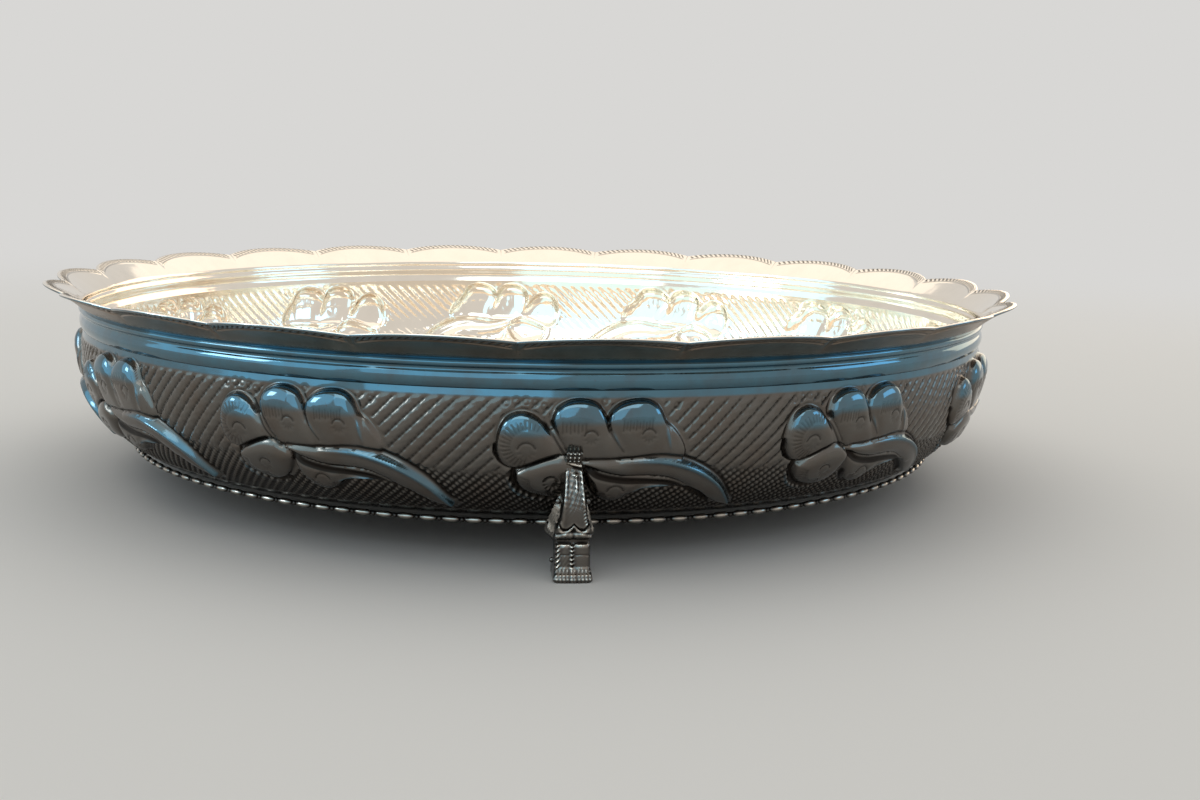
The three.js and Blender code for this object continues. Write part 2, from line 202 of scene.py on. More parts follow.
# Chased lines: the points that a line runs through, its half-width and its depth
LINES = (
    # Thick line round the left petal's foot, and thin ones round the tops
    (((-20.9, 11.4), (-20.8, 13.8), (-19.2, 16.4), (-16.2, 17.5), (-12.7, 16.1), (-9.2, 14.6),
      (-5.6, 13.3)), 0.36, 0.6),
    (((-20.9, 11.0), (-20.6, 8.2), (-19.5, 5.4), (-17.4, 3.6), (-14.4, 2.8), (-11.2, 3.5), (-9.2, 5.2)),
      0.3, 0.16),
    (((-8.0, 5.2), (-7.1, 2.2), (-4.1, 0.1), (-0.2, -0.4), (3.6, 0.6), (5.6, 3.2)), 0.3, 0.14),
    (((5.8, 3.2), (8.2, 0.6), (11.6, -0.4), (15.3, -0.4), (18.3, 1.0), (20.1, 4.2), (21.1, 7.4)),
      0.3, 0.14),
    # Double line between the left and the middle petal, and the crease between the middle and the right one
    (((-9.5, 5.6), (-7.3, 8.4), (-5.6, 11.1), (-3.8, 13.4), (-1.4, 15.2)), 0.3, 0.36),
    (((-8.0, 5.4), (-6.1, 8.4), (-4.3, 11.1), (-2.6, 13.2)), 0.28, 0.3),
    (((5.5, 4.2), (6.3, 7.5), (8.3, 10.4), (9.9, 12.6)), 0.3, 0.28),
    # Moat of the lower left petal
    (((-16.2, 17.7), (-16.6, 20.7), (-14.6, 24.1), (-11.0, 26.3), (-6.7, 27.0), (-2.6, 25.6)), 0.5, 0.6),
    # Dark line under the leaf, and the thin one along its upper edge
    (((1.2, 16.8), (4.0, 18.6), (9.8, 19.9), (17.1, 20.2), (23.2, 21.3), (29.6, 24.9), (35.4, 29.4)),
      0.72, 0.75),
    (((-0.6, 14.2), (6.5, 14.1), (11.4, 13.8), (18.1, 13.1), (24.6, 14.1), (31.0, 16.8), (36.8, 21.2),
      (42.2, 28.2)), 0.34, 0.36),
    # Foot of the bottom petal
    (((2.2, 21.8), (3.4, 25.2), (5.9, 27.6), (9.8, 27.9), (13.2, 25.6), (15.6, 23.6), (21.0, 22.9),
      (29.0, 23.9)), 0.36, 0.4),
)

# Rows of short ticks: the middle of the first and the last one, the way they point, their length and number
TICK_ROWS = (
    ((-5.0, 6.6), (0.4, 6.5), (0.03, 1), 3.0, 7),
    ((9.2, 5.9), (16.0, 5.6), (-0.03, 1), 2.6, 10),
)

# Fans of ticks: their centre, radius to their middle, first and last angle from straight right towards down,
# their length and their number
TICK_FANS = (
    ((-13.0, 11.0), 5.2, -262, -118, 2.2, 14),
    ((-13.0, 11.2), 5.2, -106, -62, 1.5, 5),
    ((-9.2, 20.2), 4.4, 60, 190, 2.3, 14),
    ((8.7, 23.0), 3.5, 14, 172, 1.4, 15),
)

# Eyes: their middle and their radius
EYES = (
    (-13.3, 12.4, 2.2),
    (1.7, 8.8, 1.7),
    (15.4, 8.3, 1.7),
    (8.7, 23.4, 2.2),
    (-7.1, 20.2, 1.7),
)

# Ring punches along the wall's top: their place, radius, depth and width
RINGS = ((-18.4, 1.5), (-16.0, 1.1), (-13.7, 1.0), (-11.4, 1.2), (-9.3, 2.1), (5.0, 0.6), (22.6, 1.6))
RING_RADIUS = 0.75
RING_DEPTH = 0.22
RING_WIDTH = 0.26

# Base wire: bars and beads soldered round the foot
WIRE_RADIUS = 1.0
WIRE_SEAT = 0.97
SEAT_GAP = 0.3
WIRE_BARS = 137
WIRE_CORE_RADIUS = 0.5
WIRE_CORE_INSET = 0.35
BEAD_RADIUS = 0.6
BEAD_ROOM = 1.25

# Legs. Reaches are measured out from the foot of the wall.
LEGS = ("leg_front", "leg_rear_right", "leg_rear_left")
# Half-width of a leg's fluted strip, knee and foot by height
LEG_STRIP = (
    (0.0, 4.65), (0.6, 4.75), (1.6, 4.6), (3.2, 4.3), (8.8, 4.2), (9.6, 4.1), (10.3, 4.3), (10.9, 4.45),
    (12.6, 4.3), (13.5, 3.9), (15.2, 3.2), (17.5, 2.95), (23.0, 2.4), (26.3, 2.1), (27.2, 1.85),
    (28.3, 2.05), (28.7, 1.9), (31.8, 1.95), (32.2, 1.7),
)
LEG_WING_SETBACK = 8.5
# Room for the ornament in front of a leg, how deep its back ends in the sheet, and how its tab's top rounds
LEG_DETAIL_ROOM = 0.35
LEG_BACK_IN_SHEET = 0.35
TAB_ROUNDING = (30.9, 32.3, 2.2)
# Beads on a leg's flanks and heel: their place at the front, and their radius
LEG_BEADS = ((-3.5, -141.2, 19.0, 0.75), (3.5, -141.2, 19.0, 0.75), (-4.35, -136.2, 3.2, 0.7))

# Camera, as the photograph has it, in millimetres and degrees
CAMERA_DISTANCE = 487.2
CAMERA_HEIGHT = 102.9
CAMERA_AZIMUTH = -3.83
CAMERA_PITCH = 9.72
CAMERA_ROLL = -1.43
CAMERA_YAW = -2.52
FOCAL_PIXELS = 1495.0
FRAME_WIDTH = 1200.0
SENSOR_WIDTH = 36.0

# Cards that only the metal mirrors, in metres: name, place, size, strength and colour
CARDS = (
    ("left_card", (-1.3, -0.3, 0.62), (1.6, 1.1), 1.2, "#84cbe8"),
    ("front_left_card", (-0.5, -1.3, 0.62), (1.2, 1.0), 1.2, "#84cbe8"),
    ("front_high_card", (-0.2, -0.8, 1.15), (1.3, 0.6), 1.9, "#d6eaf2"),
    ("right_card", (1.3, -0.25, 0.5), (0.6, 0.4), 2.4, "#80c6ee"),
    ("left_glint", (-1.14, -0.26, 0.5), (0.4, 0.3), 6.5, "#e8f6ff"),
    ("warm_rear_card", (0.9, 0.95, 0.4), (1.0, 0.7), 1.5, "#f6dcba"),
)


def linear(code):
    """A #rrggbb colour as linear red, green, blue and alpha."""
    parts = [int(code[i:i + 2], 16) / 255 for i in (1, 3, 5)]
    return [p / 12.92 if p <= 0.04045 else ((p + 0.055) / 1.055) ** 2.4 for p in parts] + [1.0]


def length_setting(name, description, millimetres):
    return FloatProperty(name=name, description=description, default=millimetres * MM, unit="LENGTH")


def colour_setting(name, description, code):
    return FloatVectorProperty(
        name=name, description=description, default=linear(code), size=4, subtype="COLOR")


class DishWork(bpy.types.PropertyGroup):
    """Sizes of the hand work on the sheet."""

    hatch_depth: length_setting("Hatch depth", "Depth of the punched lines behind the petals", 0.34)
    hatch_width: length_setting("Hatch width", "Half-width of a punched line", 0.36)
    punch_pitch: length_setting("Punch pitch", "Distance between two strokes of the punch along a line", 1.32)
    tick_depth: length_setting("Tick depth", "Depth of the short ticks on petals and rim", 0.25)
    rim_tick_pitch: length_setting(
        "Rim tick pitch", "Distance between two ticks along the scalloped edge", 1.9)
    hand_seed: IntProperty(
        name="Hand",
        description="Seed of the small differences between motifs that were made by hand",
        default=12,
        min=0,
    )


class DishFinish(bpy.types.PropertyGroup):
    """Colours of the finishes. The toned, cast and flange silvers carry painted shade, and the worn silver a
    painted reflection.
    """

    # Painted shade: the toned silver is painted much darker than silver, for the dim surroundings the outside
    # mirrors; its brown film is its own
    toned_silver_with_painted_shade: colour_setting(
        "Toned silver", "Outside of the dish, which has a thin brown film of tarnish", "#6b6762")
    bright_silver: colour_setting("Bright silver", "Inside of the dish, which is polished most", "#f9efe1")
    # Painted shade: the cast silver is painted much darker than silver, for the shade the legs and the wire
    # stand in
    cast_silver: colour_setting("Cast silver", "Legs and base wire", "#66635f")
    # Painted reflection: the worn silver's blue stands in for a cool light mirrored in the neck and the petal
    # tops
    worn_silver_with_painted_reflection: colour_setting(
        "Worn silver", "Neck, petal tops and ridges, which the polishing cloth reaches", "#597b8a")
    # Painted shade: the flange silver is a warm brown-grey copy of the silver for the face-down underside
    flange_silver_with_painted_shade: colour_setting(
        "Flange silver", "Underside of the flange, which is brushed and not buffed", "#a08f7f")
    film: colour_setting("Film", "Thin amber-brown film of tarnish", "#5f4a3a")
    tarnish: colour_setting("Tarnish", "Black-brown silver sulphide left in the recesses", "#1f1915")
    floor: colour_setting("Floor", "Plain pale paper that the dish stands on", "#eae9e6")
    backdrop: colour_setting("Backdrop", "Plain pale backdrop all round", "#d8d7d5")


def smoothstep(low, high, value):
    share = np.clip((value - low) / (high - low), 0, 1)
    return share * share * (3 - 2 * share)


def bell(value, width):
    return np.exp(-((value / width) ** 2))


def through(points, steps=6):
    """A smooth run of points through the given ones."""
    p = np.array([points[0], *points, points[-1]], float)
    t = np.linspace(0, 1, steps, endpoint=False)[:, None]
    runs = []
    for a, b, c, d in zip(p, p[1:], p[2:], p[3:]):
        bend, twist = 2 * a - 5 * b + 4 * c - d, 3 * b - a - 3 * c + d
        runs.append(0.5 * (2 * b + (c - a) * t + bend * t**2 + twist * t**3))
    return np.vstack([*runs, p[-1:]])


def bezier(points, steps=60):
    t = np.linspace(0, 1, steps)[:, None]
    a, b, c, d = (np.array(p, float) for p in points)
    return (1 - t) ** 3 * a + 3 * (1 - t) ** 2 * t * b + 3 * (1 - t) * t**2 * c + t**3 * d


def from_segment(across, down, head, tail):
    """Distance from a segment, and how far along it the nearest point lies."""
    run_x, run_y = tail[0] - head[0], tail[1] - head[1]
    share = ((across - head[0]) * run_x + (down - head[1]) * run_y) / (run_x**2 + run_y**2)
    share = np.clip(share, 0, 1)
    return np.hypot(across - head[0] - share * run_x, down - head[1] - share * run_y), share


def blur(field, steps, axis):
    """A field blurred along one axis by a bell that is some steps wide."""
    reach = int(3 * steps) + 1
    weights = np.exp(-0.5 * (np.arange(-reach, reach + 1) / steps) ** 2)
    weights /= weights.sum()
    pad = [(reach, reach) if i == axis else (0, 0) for i in range(2)]
    wide = np.pad(field, pad, mode="reflect", reflect_type="odd")
    places = np.arange(field.shape[axis])
    return sum(weight * np.take(wide, places + i, axis=axis) for i, weight in enumerate(weights))


def soften(field, steps):
    """A field blurred along both axes."""
    return blur(blur(field, steps, 0), steps, 1)


def chased(across, down, strokes):
    """Depth of the deepest stroke at each place. A stroke has its two ends, its half-width and its depth."""
    depth = np.zeros_like(across)
    for head, tail, half_width, stroke_depth in strokes:
        low_x, high_x = sorted((head[0], tail[0]))
        low_y, high_y = sorted((head[1], tail[1]))
        reach = 3 * half_width
        near = (across > low_x - reach) & (across < high_x + reach)
        near &= (down > low_y - reach) & (down < high_y + reach)
        if not near.any():
            continue
        away, _ = from_segment(across[near], down[near], head, tail)
        depth[near] = np.maximum(depth[near], stroke_depth * bell(away, half_width))
    return depth


def line_strokes():
    """The chased lines of a motif as short strokes that thin out at both ends."""
    strokes = []
    for points, half_width, depth in LINES:
        run = through(points)
        ends = np.minimum(1, 0.35 + 4 * np.sin(np.pi * np.linspace(0.02, 0.98, len(run) - 1)))
        for a, b, share in zip(run, run[1:], ends):
            strokes.append((a, b, half_width * min(1, 0.6 + 0.4 * share), depth * min(share, 1)))
    return strokes


def tick_strokes(depth):
    """The short ticks on the petals, in rows and in fans."""
    strokes = []
    for first, last, way, length, count in TICK_ROWS:
        for share in np.linspace(0, 1, count):
            x = first[0] + (last[0] - first[0]) * share
            y = first[1] + (last[1] - first[1]) * share
            half = 0.5 * length * (1 - 0.25 * (share * count % 2))
            head = (x - way[0] * half, y - way[1] * half)
            tail = (x + way[0] * half, y + way[1] * half)
            strokes.append((head, tail, 0.27, depth))
    for centre, radius, start, end, length, count in TICK_FANS:
        for angle in np.radians(np.linspace(start, end, count)):
            way = np.array([math.cos(angle), math.sin(angle)])
            middle = np.array(centre) + radius * way * (1, 0.94)
            strokes.append((middle - way * length / 2, middle + way * length / 2, 0.28, depth))
    return strokes


def eye_strokes(depth):
    """Each eye: a lid over a ring of small marks."""
    strokes = []
    for x, y, radius in EYES:
        angles = np.radians(np.linspace(-165, -20, 7))
        lid = [(x + radius * math.cos(a), y + radius * math.sin(a)) for a in angles]
        strokes += [(a, b, 0.26, depth * 1.3) for a, b in zip(lid, lid[1:])]
        for a in np.radians(np.linspace(20, 160, 5)):
            way = np.array([math.cos(a), math.sin(a)])
            strokes.append(((x, y) + way * radius * 0.55, (x, y) + way * radius, 0.24, depth * 0.8))
    return strokes


def into_outline(across, down, outline):
    """How far each place lies inside a closed outline. Outside it the distance is below zero."""
    run = through([*outline, outline[0]], 5)
    away = np.full_like(across, 99.0)
    crossings = np.zeros(across.shape, int)
    for a, b in zip(run, run[1:]):
        if np.allclose(a, b):
            continue
        away = np.minimum(away, from_segment(across, down, a, b)[0])
        if a[1] != b[1]:
            level = (down >= min(a[1], b[1])) & (down < max(a[1], b[1]))
            crossings += level & (across < a[0] + (down - a[1]) * (b[0] - a[0]) / (b[1] - a[1]))
    return np.where(crossings % 2 == 1, away, -away)


def motif_forms(across, down):
    """Height of the petals and the leaf, and how far a place lies outside all of them."""
    height = np.zeros_like(across)
    outside = np.full_like(across, 99.0)
    for outline, edge, top, foot, top_down, foot_down, press in FORMS:
        inside = into_outline(across, down, outline)
        share = np.clip((down - top_down) / (foot_down - top_down), 0, 1)
        full = top + (foot - top) * share
        # A round edge, as a ball has
        crown = np.sqrt(1 - np.clip(1 - (inside + 0.15) / edge, 0, 1) ** 2)
        form = full * crown * smoothstep(-0.15, 0.55, inside)
        height = np.maximum(height * (1 - press * smoothstep(-0.4, 0.9, inside)), form)
        outside = np.minimum(outside, -inside)
    return height, outside


def ridges(across, down):
    height = np.zeros_like(across)
    for points, half_width, first, middle, last in RIDGES:
        run = through(points, 8)
        for i, (a, b) in enumerate(zip(run, run[1:])):
            top = np.interp(i / (len(run) - 1), (0, 0.35, 1), (first, middle, last))
            away, _ = from_segment(across, down, a, b)
            height = np.maximum(height, top * bell(away, half_width))
    return height


def hatching(across, down, work, phases):
    """The punched lines that run up to the right behind the petals: their height, and their darkening, which
    is tarnish in the grooves and painted shade on the sunk ground between the grains.

    Above they are grooves with punch marks, and below they turn to rows of round grains on a sunk ground.
    """
    circumference = MOTIFS * PANEL_WIDTH
    spacing = circumference / HATCH_LINES
    square = spacing / math.sqrt(2)
    way_round = circumference / math.sqrt(2)
    pitch = way_round / round(way_round / (work.punch_pitch / MM))
    waves = 2 * np.pi * 15 / way_round
    along = (across - down) / math.sqrt(2)
    panel = across / PANEL_WIDTH * 2 * np.pi
    grains = smoothstep(GRAINS_FROM, GRAINS_FULL, down + 1.5 * np.cos(panel - 1.2))
    turn = (across + down) / spacing
    line = np.round(turn)
    phase = phases[np.mod(line, HATCH_LINES).astype(int)]
    away = (turn - line) * square + 0.12 * np.sin(along * waves + 40 * phase)
    punch = 0.5 + 0.5 * np.cos(2 * np.pi * (along / pitch + phase))
    width = work.hatch_width / MM
    groove = bell(away, width) * (0.66 + 0.34 * punch)
    groove += 0.16 * bell(np.abs(away) - 1.75 * width, 0.6 * width) * punch
    lip = 0.28 * bell(np.abs(away) - 1.5 * width, 0.7 * width)
    strip = 0.5 - 0.5 * np.cos(2 * np.pi * (turn - line))
    uneven = np.sin(2.1 * along + 30 * phase) * np.sin(1.7 * (across + down) + 2 * panel)
    lines = (work.hatch_depth / MM) * (lip - groove + 0.55 * strip + 0.16 * uneven)
    close = 1.5 * (across + down) / spacing
    row = np.round(close)
    row_phase = phases[np.mod(row, HATCH_LINES).astype(int)]
    from_row = (close - row) * square / 1.5
    from_grain = (along / pitch + row_phase - np.round(along / pitch + row_phase)) * pitch
    grain = np.clip(1 - (from_row / 0.66) ** 2 - (from_grain / 0.56) ** 2, 0, 1) ** 0.5
    beaded = (work.hatch_depth / MM) * (1.5 * grain - 0.9)
    height = lines * (1 - grains) + beaded * grains
    # Tarnish in the grooves above; below, painted shade darkens the sunk ground between the grains, and the
    # grains' tops are kept clear of it
    tarnish_and_painted_shade = 0.3 * groove * (1 - grains) + (0.3 - 0.4 * grain) * grains
    return height, tarnish_and_painted_shade


def ring_punches(across, down):
    depth = np.zeros_like(across)
    for x, y in RINGS:
        away = np.hypot(across - x, down - y)
        depth = np.maximum(depth, RING_DEPTH * bell(away - RING_RADIUS, RING_WIDTH))
    return depth


def wall_relief(across, down, work):
    """The chased wall: its height over the plain form, its recesses' depth with painted shade added, and how
    worn its tops are, with a painted highlight.
    """
    hand = np.random.default_rng(work.hand_seed)
    phases = hand.random(HATCH_LINES)
    swings = hand.uniform(-1, 1, (MOTIFS, len(HAND_SWINGS)))
    strokes = line_strokes() + tick_strokes(work.tick_depth / MM) + eye_strokes(work.tick_depth / MM)
    height = np.zeros_like(across)
    depth = np.zeros_like(across)
    worn_and_highlit = np.zeros_like(across)
    outside = np.full_like(across, 99.0)
    shifted = across - MOTIF_OFFSET
    panel = np.floor((shifted - PANEL_OVERHANG) / PANEL_WIDTH + 0.5).astype(int)
    for index in np.unique(panel):
        here = panel == index
        turn, right, below, wide, tall = swings[index % MOTIFS] * HAND_SWINGS
        x = shifted[here] - index * PANEL_WIDTH
        y = down[here]
        x, y = (x - right - turn * (y - 12)) * (1 + wide), (y - below + turn * x) * (1 + tall)
        forms, beyond = motif_forms(x, y)
        chase = np.maximum(chased(x, y, strokes), ring_punches(x, y))
        sharp = ridges(x, y)
        height[here] = forms + sharp - chase
        # Petal tops and sharp ridges are worn, and their colour also carries a painted highlight
        below_top = y - WORN_AND_HIGHLIT_DOWN_TO - LEFT_WORN_AND_HIGHLIT_LOWER * smoothstep(-5.0, -9.0, x)
        domed = smoothstep(0.9, 1.9, forms) * smoothstep(0.9, -0.9, below_top)
        worn_and_highlit[here] = np.maximum(domed, smoothstep(0.2, 0.6, sharp))
        depth[here] = chase
        outside[here] = beyond
    field = smoothstep(0.7, 1.3, outside) * smoothstep(0.2, 1.2, down) * (1 - smoothstep(*HATCH_END, down))
    hatch, tarnish_and_painted_shade = hatching(across, down, work, phases)
    height += field * hatch
    depth = np.maximum(depth, field * tarnish_and_painted_shade)
    # Painted shade: darker towards the wall's foot, where it mirrors the shadowed floor
    depth += FOOT_PAINTED_SHADE * smoothstep(19, 35, down)
    inside_edge = smoothstep(-0.9, -0.2, down) * (1 - smoothstep(37.4, 38.8, down))
    return height * inside_edge, depth * inside_edge, worn_and_highlit


def sheet_line():
    """The sheet's outer line from the crease down the wall to the flat floor.

    Gives the length down from the wall's top, the radius, the height and the outward normal's two parts.
    """
    crease = (NECK_RADIUS - CREASE_DEPTH, CREASE_HEIGHT)
    fillet = np.linspace(crease, WALL_POINTS[0], FILLET_POINTS)[:-1]
    bend = (FOOT_RADIUS - 1.1, FOOT_HEIGHT - 0.62)
    corner = through([WALL_POINTS[3], bend, (CORNER_RADIUS, FLOOR_HEIGHT)], 8)[1:]
    flat = np.linspace((CORNER_RADIUS, FLOOR_HEIGHT), (FLOOR_RADIUS, FLOOR_HEIGHT), FLAT_POINTS)[1:]
    line = np.vstack([fillet, bezier(WALL_POINTS, 240), corner, flat])
    steps = np.hypot(*np.diff(line, axis=0).T)
    length = np.concatenate([[0], np.cumsum(steps)])
    length -= length[len(fillet)]
    way = np.gradient(line, length, axis=0)
    way /= np.hypot(*way.T)[:, None]
    normal = np.stack([-way[:, 1], way[:, 0]], 1)
    normal[-6:] = (0, -1)
    return length, line[:, 0], line[:, 1], normal[:, 0], normal[:, 1]


def recess_and_shade_of(height, depth, steps):
    """How deep a place lies against its surroundings, from chased lines and from the form, with the painted
    shade that the depth carries.
    """
    around = soften(height, steps)
    return np.clip((around - height) * 0.2, -0.25, 0.12) + depth


def round_points(angle, radius, height):
    """Points in metres from an angle round the dish, a radius and a height in millimetres."""
    return np.stack([radius * np.sin(angle), -radius * np.cos(angle), height * np.ones_like(radius)], -1) * MM


def clean_start():
    """Leaves nothing selected and nothing active in edit mode."""
    if bpy.context.object and bpy.context.object.mode != "OBJECT":
        bpy.ops.object.mode_set(mode="OBJECT")
    bpy.ops.object.select_all(action="DESELECT")


def only(piece):
    """Selects one piece alone and makes it the active one."""
    clean_start()
    piece.select_set(True)
    bpy.context.view_layer.objects.active = piece


def into_edit(kind, action="DESELECT"):
    """Opens the active mesh in edit mode, with nothing or all of it selected."""
    bpy.ops.object.mode_set(mode="EDIT")
    bpy.ops.mesh.select_mode(type=kind)
    bpy.ops.mesh.select_all(action=action)


def faces_out():
    """Turns all faces of the mesh in edit mode to look outwards, and leaves edit mode."""
    bpy.ops.mesh.select_all(action="SELECT")
    bpy.ops.mesh.normals_make_consistent(inside=False)
    bpy.ops.object.mode_set(mode="OBJECT")


def points_of(mesh):
    """The points of a mesh, one to a row."""
    points = np.zeros(len(mesh.vertices) * 3)
    mesh.vertices.foreach_get("co", points)
    return points.reshape(-1, 3)


def shaped_grid(name, columns, rows, shape, inward=False, bake_strip=(0.0, 1.0)):
    """A sheet added as a flat grid and bent to its shape.

    shape takes shares across and along, and gives points, recess tarnish with painted shade, and polish with
    a painted highlight. bake_strip is the part of the UV map's height that the sheet fills.
    """
    clean_start()
    bpy.ops.mesh.primitive_grid_add(x_subdivisions=columns, y_subdivisions=rows, size=1)
    piece = bpy.context.object
    piece.name = name
    across, along = np.meshgrid(np.linspace(0, 1, columns + 1), np.linspace(0, 1, rows + 1))
    points, recess_and_shade, polish_and_highlight = shape(across, along)
    piece.data.vertices.foreach_set("co", points.reshape(-1).astype(np.float32))
    add_wear_and_painted_light(piece, recess_and_shade, polish_and_highlight)
    layer = piece.data.uv_layers.active
    layer.name = "OFBake"
    places = np.zeros(len(layer.data) * 2, np.float32)
    layer.data.foreach_get("uv", places)
    places = places.reshape(-1, 2)
    places[:, 1] = bake_strip[0] + places[:, 1] * (bake_strip[1] - bake_strip[0])
    layer.data.foreach_set("uv", places.ravel())
    if inward:
        piece.data.flip_normals()
    piece.data.update()
    return piece


def add_wear_and_painted_light(piece, recess_and_shade, polish_and_highlight):
    """Keeps with each point how deep it lies, where tarnish and painted shade darken it, and how much the
    cloth polishes it, with a painted highlight.
    """
    for name, values in (("recess_and_shade", recess_and_shade), ("polish_and_highlight", polish_and_highlight)):
        attribute = piece.data.attributes.new(name, "FLOAT", "POINT")
        attribute.data.foreach_set("value", values.reshape(-1).astype(np.float32))


def joined(pieces, name):
    clean_start()
    for piece in pieces:
        piece.select_set(True)
    bpy.context.view_layer.objects.active = pieces[0]
    bpy.ops.object.join()
    pieces[0].name = name
    pieces[0].data.name = name
    return pieces[0]


def edges_closed(piece):
    """Closes the thickness of a sheet all round its open edges."""
    only(piece)
    into_edit("EDGE")
    bpy.ops.mesh.select_non_manifold(
        extend=False, use_wire=False, use_multi_face=False, use_non_contiguous=False)
    bpy.ops.mesh.bridge_edge_loops()
    faces_out()


def thickness_closed(piece, end_vertices):
    """Closes a wrapped sheet: its two end rows to each other, and then both of its ends."""
    only(piece)
    into_edit("VERT")
    bpy.ops.object.mode_set(mode="OBJECT")
    piece.data.vertices.foreach_set("select", end_vertices)
    bpy.ops.object.mode_set(mode="EDIT")
    bpy.ops.mesh.bridge_edge_loops()
    bpy.ops.mesh.select_all(action="SELECT")
    bpy.ops.mesh.fill_holes(sides=0)
    faces_out()


def finished(piece, materials, nodes):
    """Smooths a piece, gives it its materials, and seats it on the frame."""
    only(piece)
    bpy.ops.object.shade_smooth_by_angle(angle=math.radians(55))
    piece.data.materials.clear()
    for material in materials:
        piece.data.materials.append(material)
    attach(piece, BODY)
    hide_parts(*nodes)


def swell(share):
    """A round bulge between two creases."""
    return np.sin(np.pi * share) ** 0.85


def rim_base(angle):
    """The sheet's outer line over neck and flange at each angle, from the crease up to the edge.

    Gives radius and height by row and column, and the share of the flange that each row has reached.
    """
    band = np.linspace(0, 1, BAND_ROWS)[:, None]
    groove = np.linspace(0, 1, GROOVE_ROWS + 1)[1:, None]
    bead = np.linspace(0, 1, BEAD_ROWS + 1)[1:, None]
    flange = np.linspace(0, 1, FLANGE_ROWS + 1)[1:, None]
    crease = NECK_RADIUS - CREASE_DEPTH
    rows = [
        (crease + CREASE_DEPTH * band + NECK_SWELL * swell(band), CREASE_HEIGHT + BAND_HEIGHT * band),
        (NECK_RADIUS - GROOVE_DEPTH * np.sin(np.pi * groove), BAND_TOP + GROOVE_HEIGHT * groove),
        (NECK_RADIUS + 0.85 * NECK_SWELL * swell(bead), NECK_TOP + BEAD_HEIGHT * (bead - 1)),
    ]
    level = np.ones_like(angle)[None, :]
    turn = (angle - RIM_PHASE) * SCALLOPS / (2 * np.pi)
    crest = 1 - 4 * (turn - np.floor(turn) - 0.5)[None, :] ** 2
    reach = NOTCH_RADIUS + SCALLOP_REACH * crest - NECK_RADIUS
    rise = NOTCH_HEIGHT + SCALLOP_RISE * crest - NECK_TOP
    # Half of the sheet is left for the round edge
    share = flange * (1 - SHEET / 2 / np.hypot(reach, rise))
    bent = share + FLARE_BEND * share * (1 - share)
    crown = SCALLOP_CROWN * (crest - 0.5) * np.sin(np.pi * share)
    radius = np.vstack([r * level for r, _ in rows] + [NECK_RADIUS + reach * share])
    height = np.vstack([h * level for _, h in rows] + [NECK_TOP + rise * bent + crown])
    reached = np.vstack([np.zeros((NECK_ROWS, angle.size)), share])
    return radius, height, reached, np.hypot(reach, rise), turn - np.floor(turn)


def rim_chasing(reached, length, turn, work):
    """Depth of the line, ticks and creases on the flange."""
    from_edge = (1 - reached) * length
    on_flange = smoothstep(0.02, 0.1, reached)
    pitch = work.rim_tick_pitch / MM
    scallop = 2 * np.pi * NOTCH_RADIUS / SCALLOPS
    run = turn[None, :] * scallop
    notch = np.minimum(run, scallop - run)
    line = EDGE_LINE_DEPTH * bell(from_edge - EDGE_LINE_PLACE, 0.34) * smoothstep(0.6, 2.2, notch)
    slanted = (run + 0.9 * from_edge) / pitch
    beat = np.abs(slanted - np.round(slanted)) * pitch
    within = smoothstep(0.7, 1.1, from_edge) * (1 - smoothstep(2.6, 3.1, from_edge))
    within *= smoothstep(0.8, 1.8, notch)
    ticks = work.tick_depth / MM * 1.5 * bell(beat, EDGE_TICK_WIDTH) * within
    crease = NOTCH_CREASE_DEPTH * bell(notch, 0.4) * smoothstep(0.1, 0.9, reached)
    bulb = NOTCH_BULB_DEPTH * bell(np.hypot(notch, from_edge - NOTCH_BULB_PLACE), 0.6)
    return np.maximum.reduce([line, ticks, crease, bulb]) * on_flange


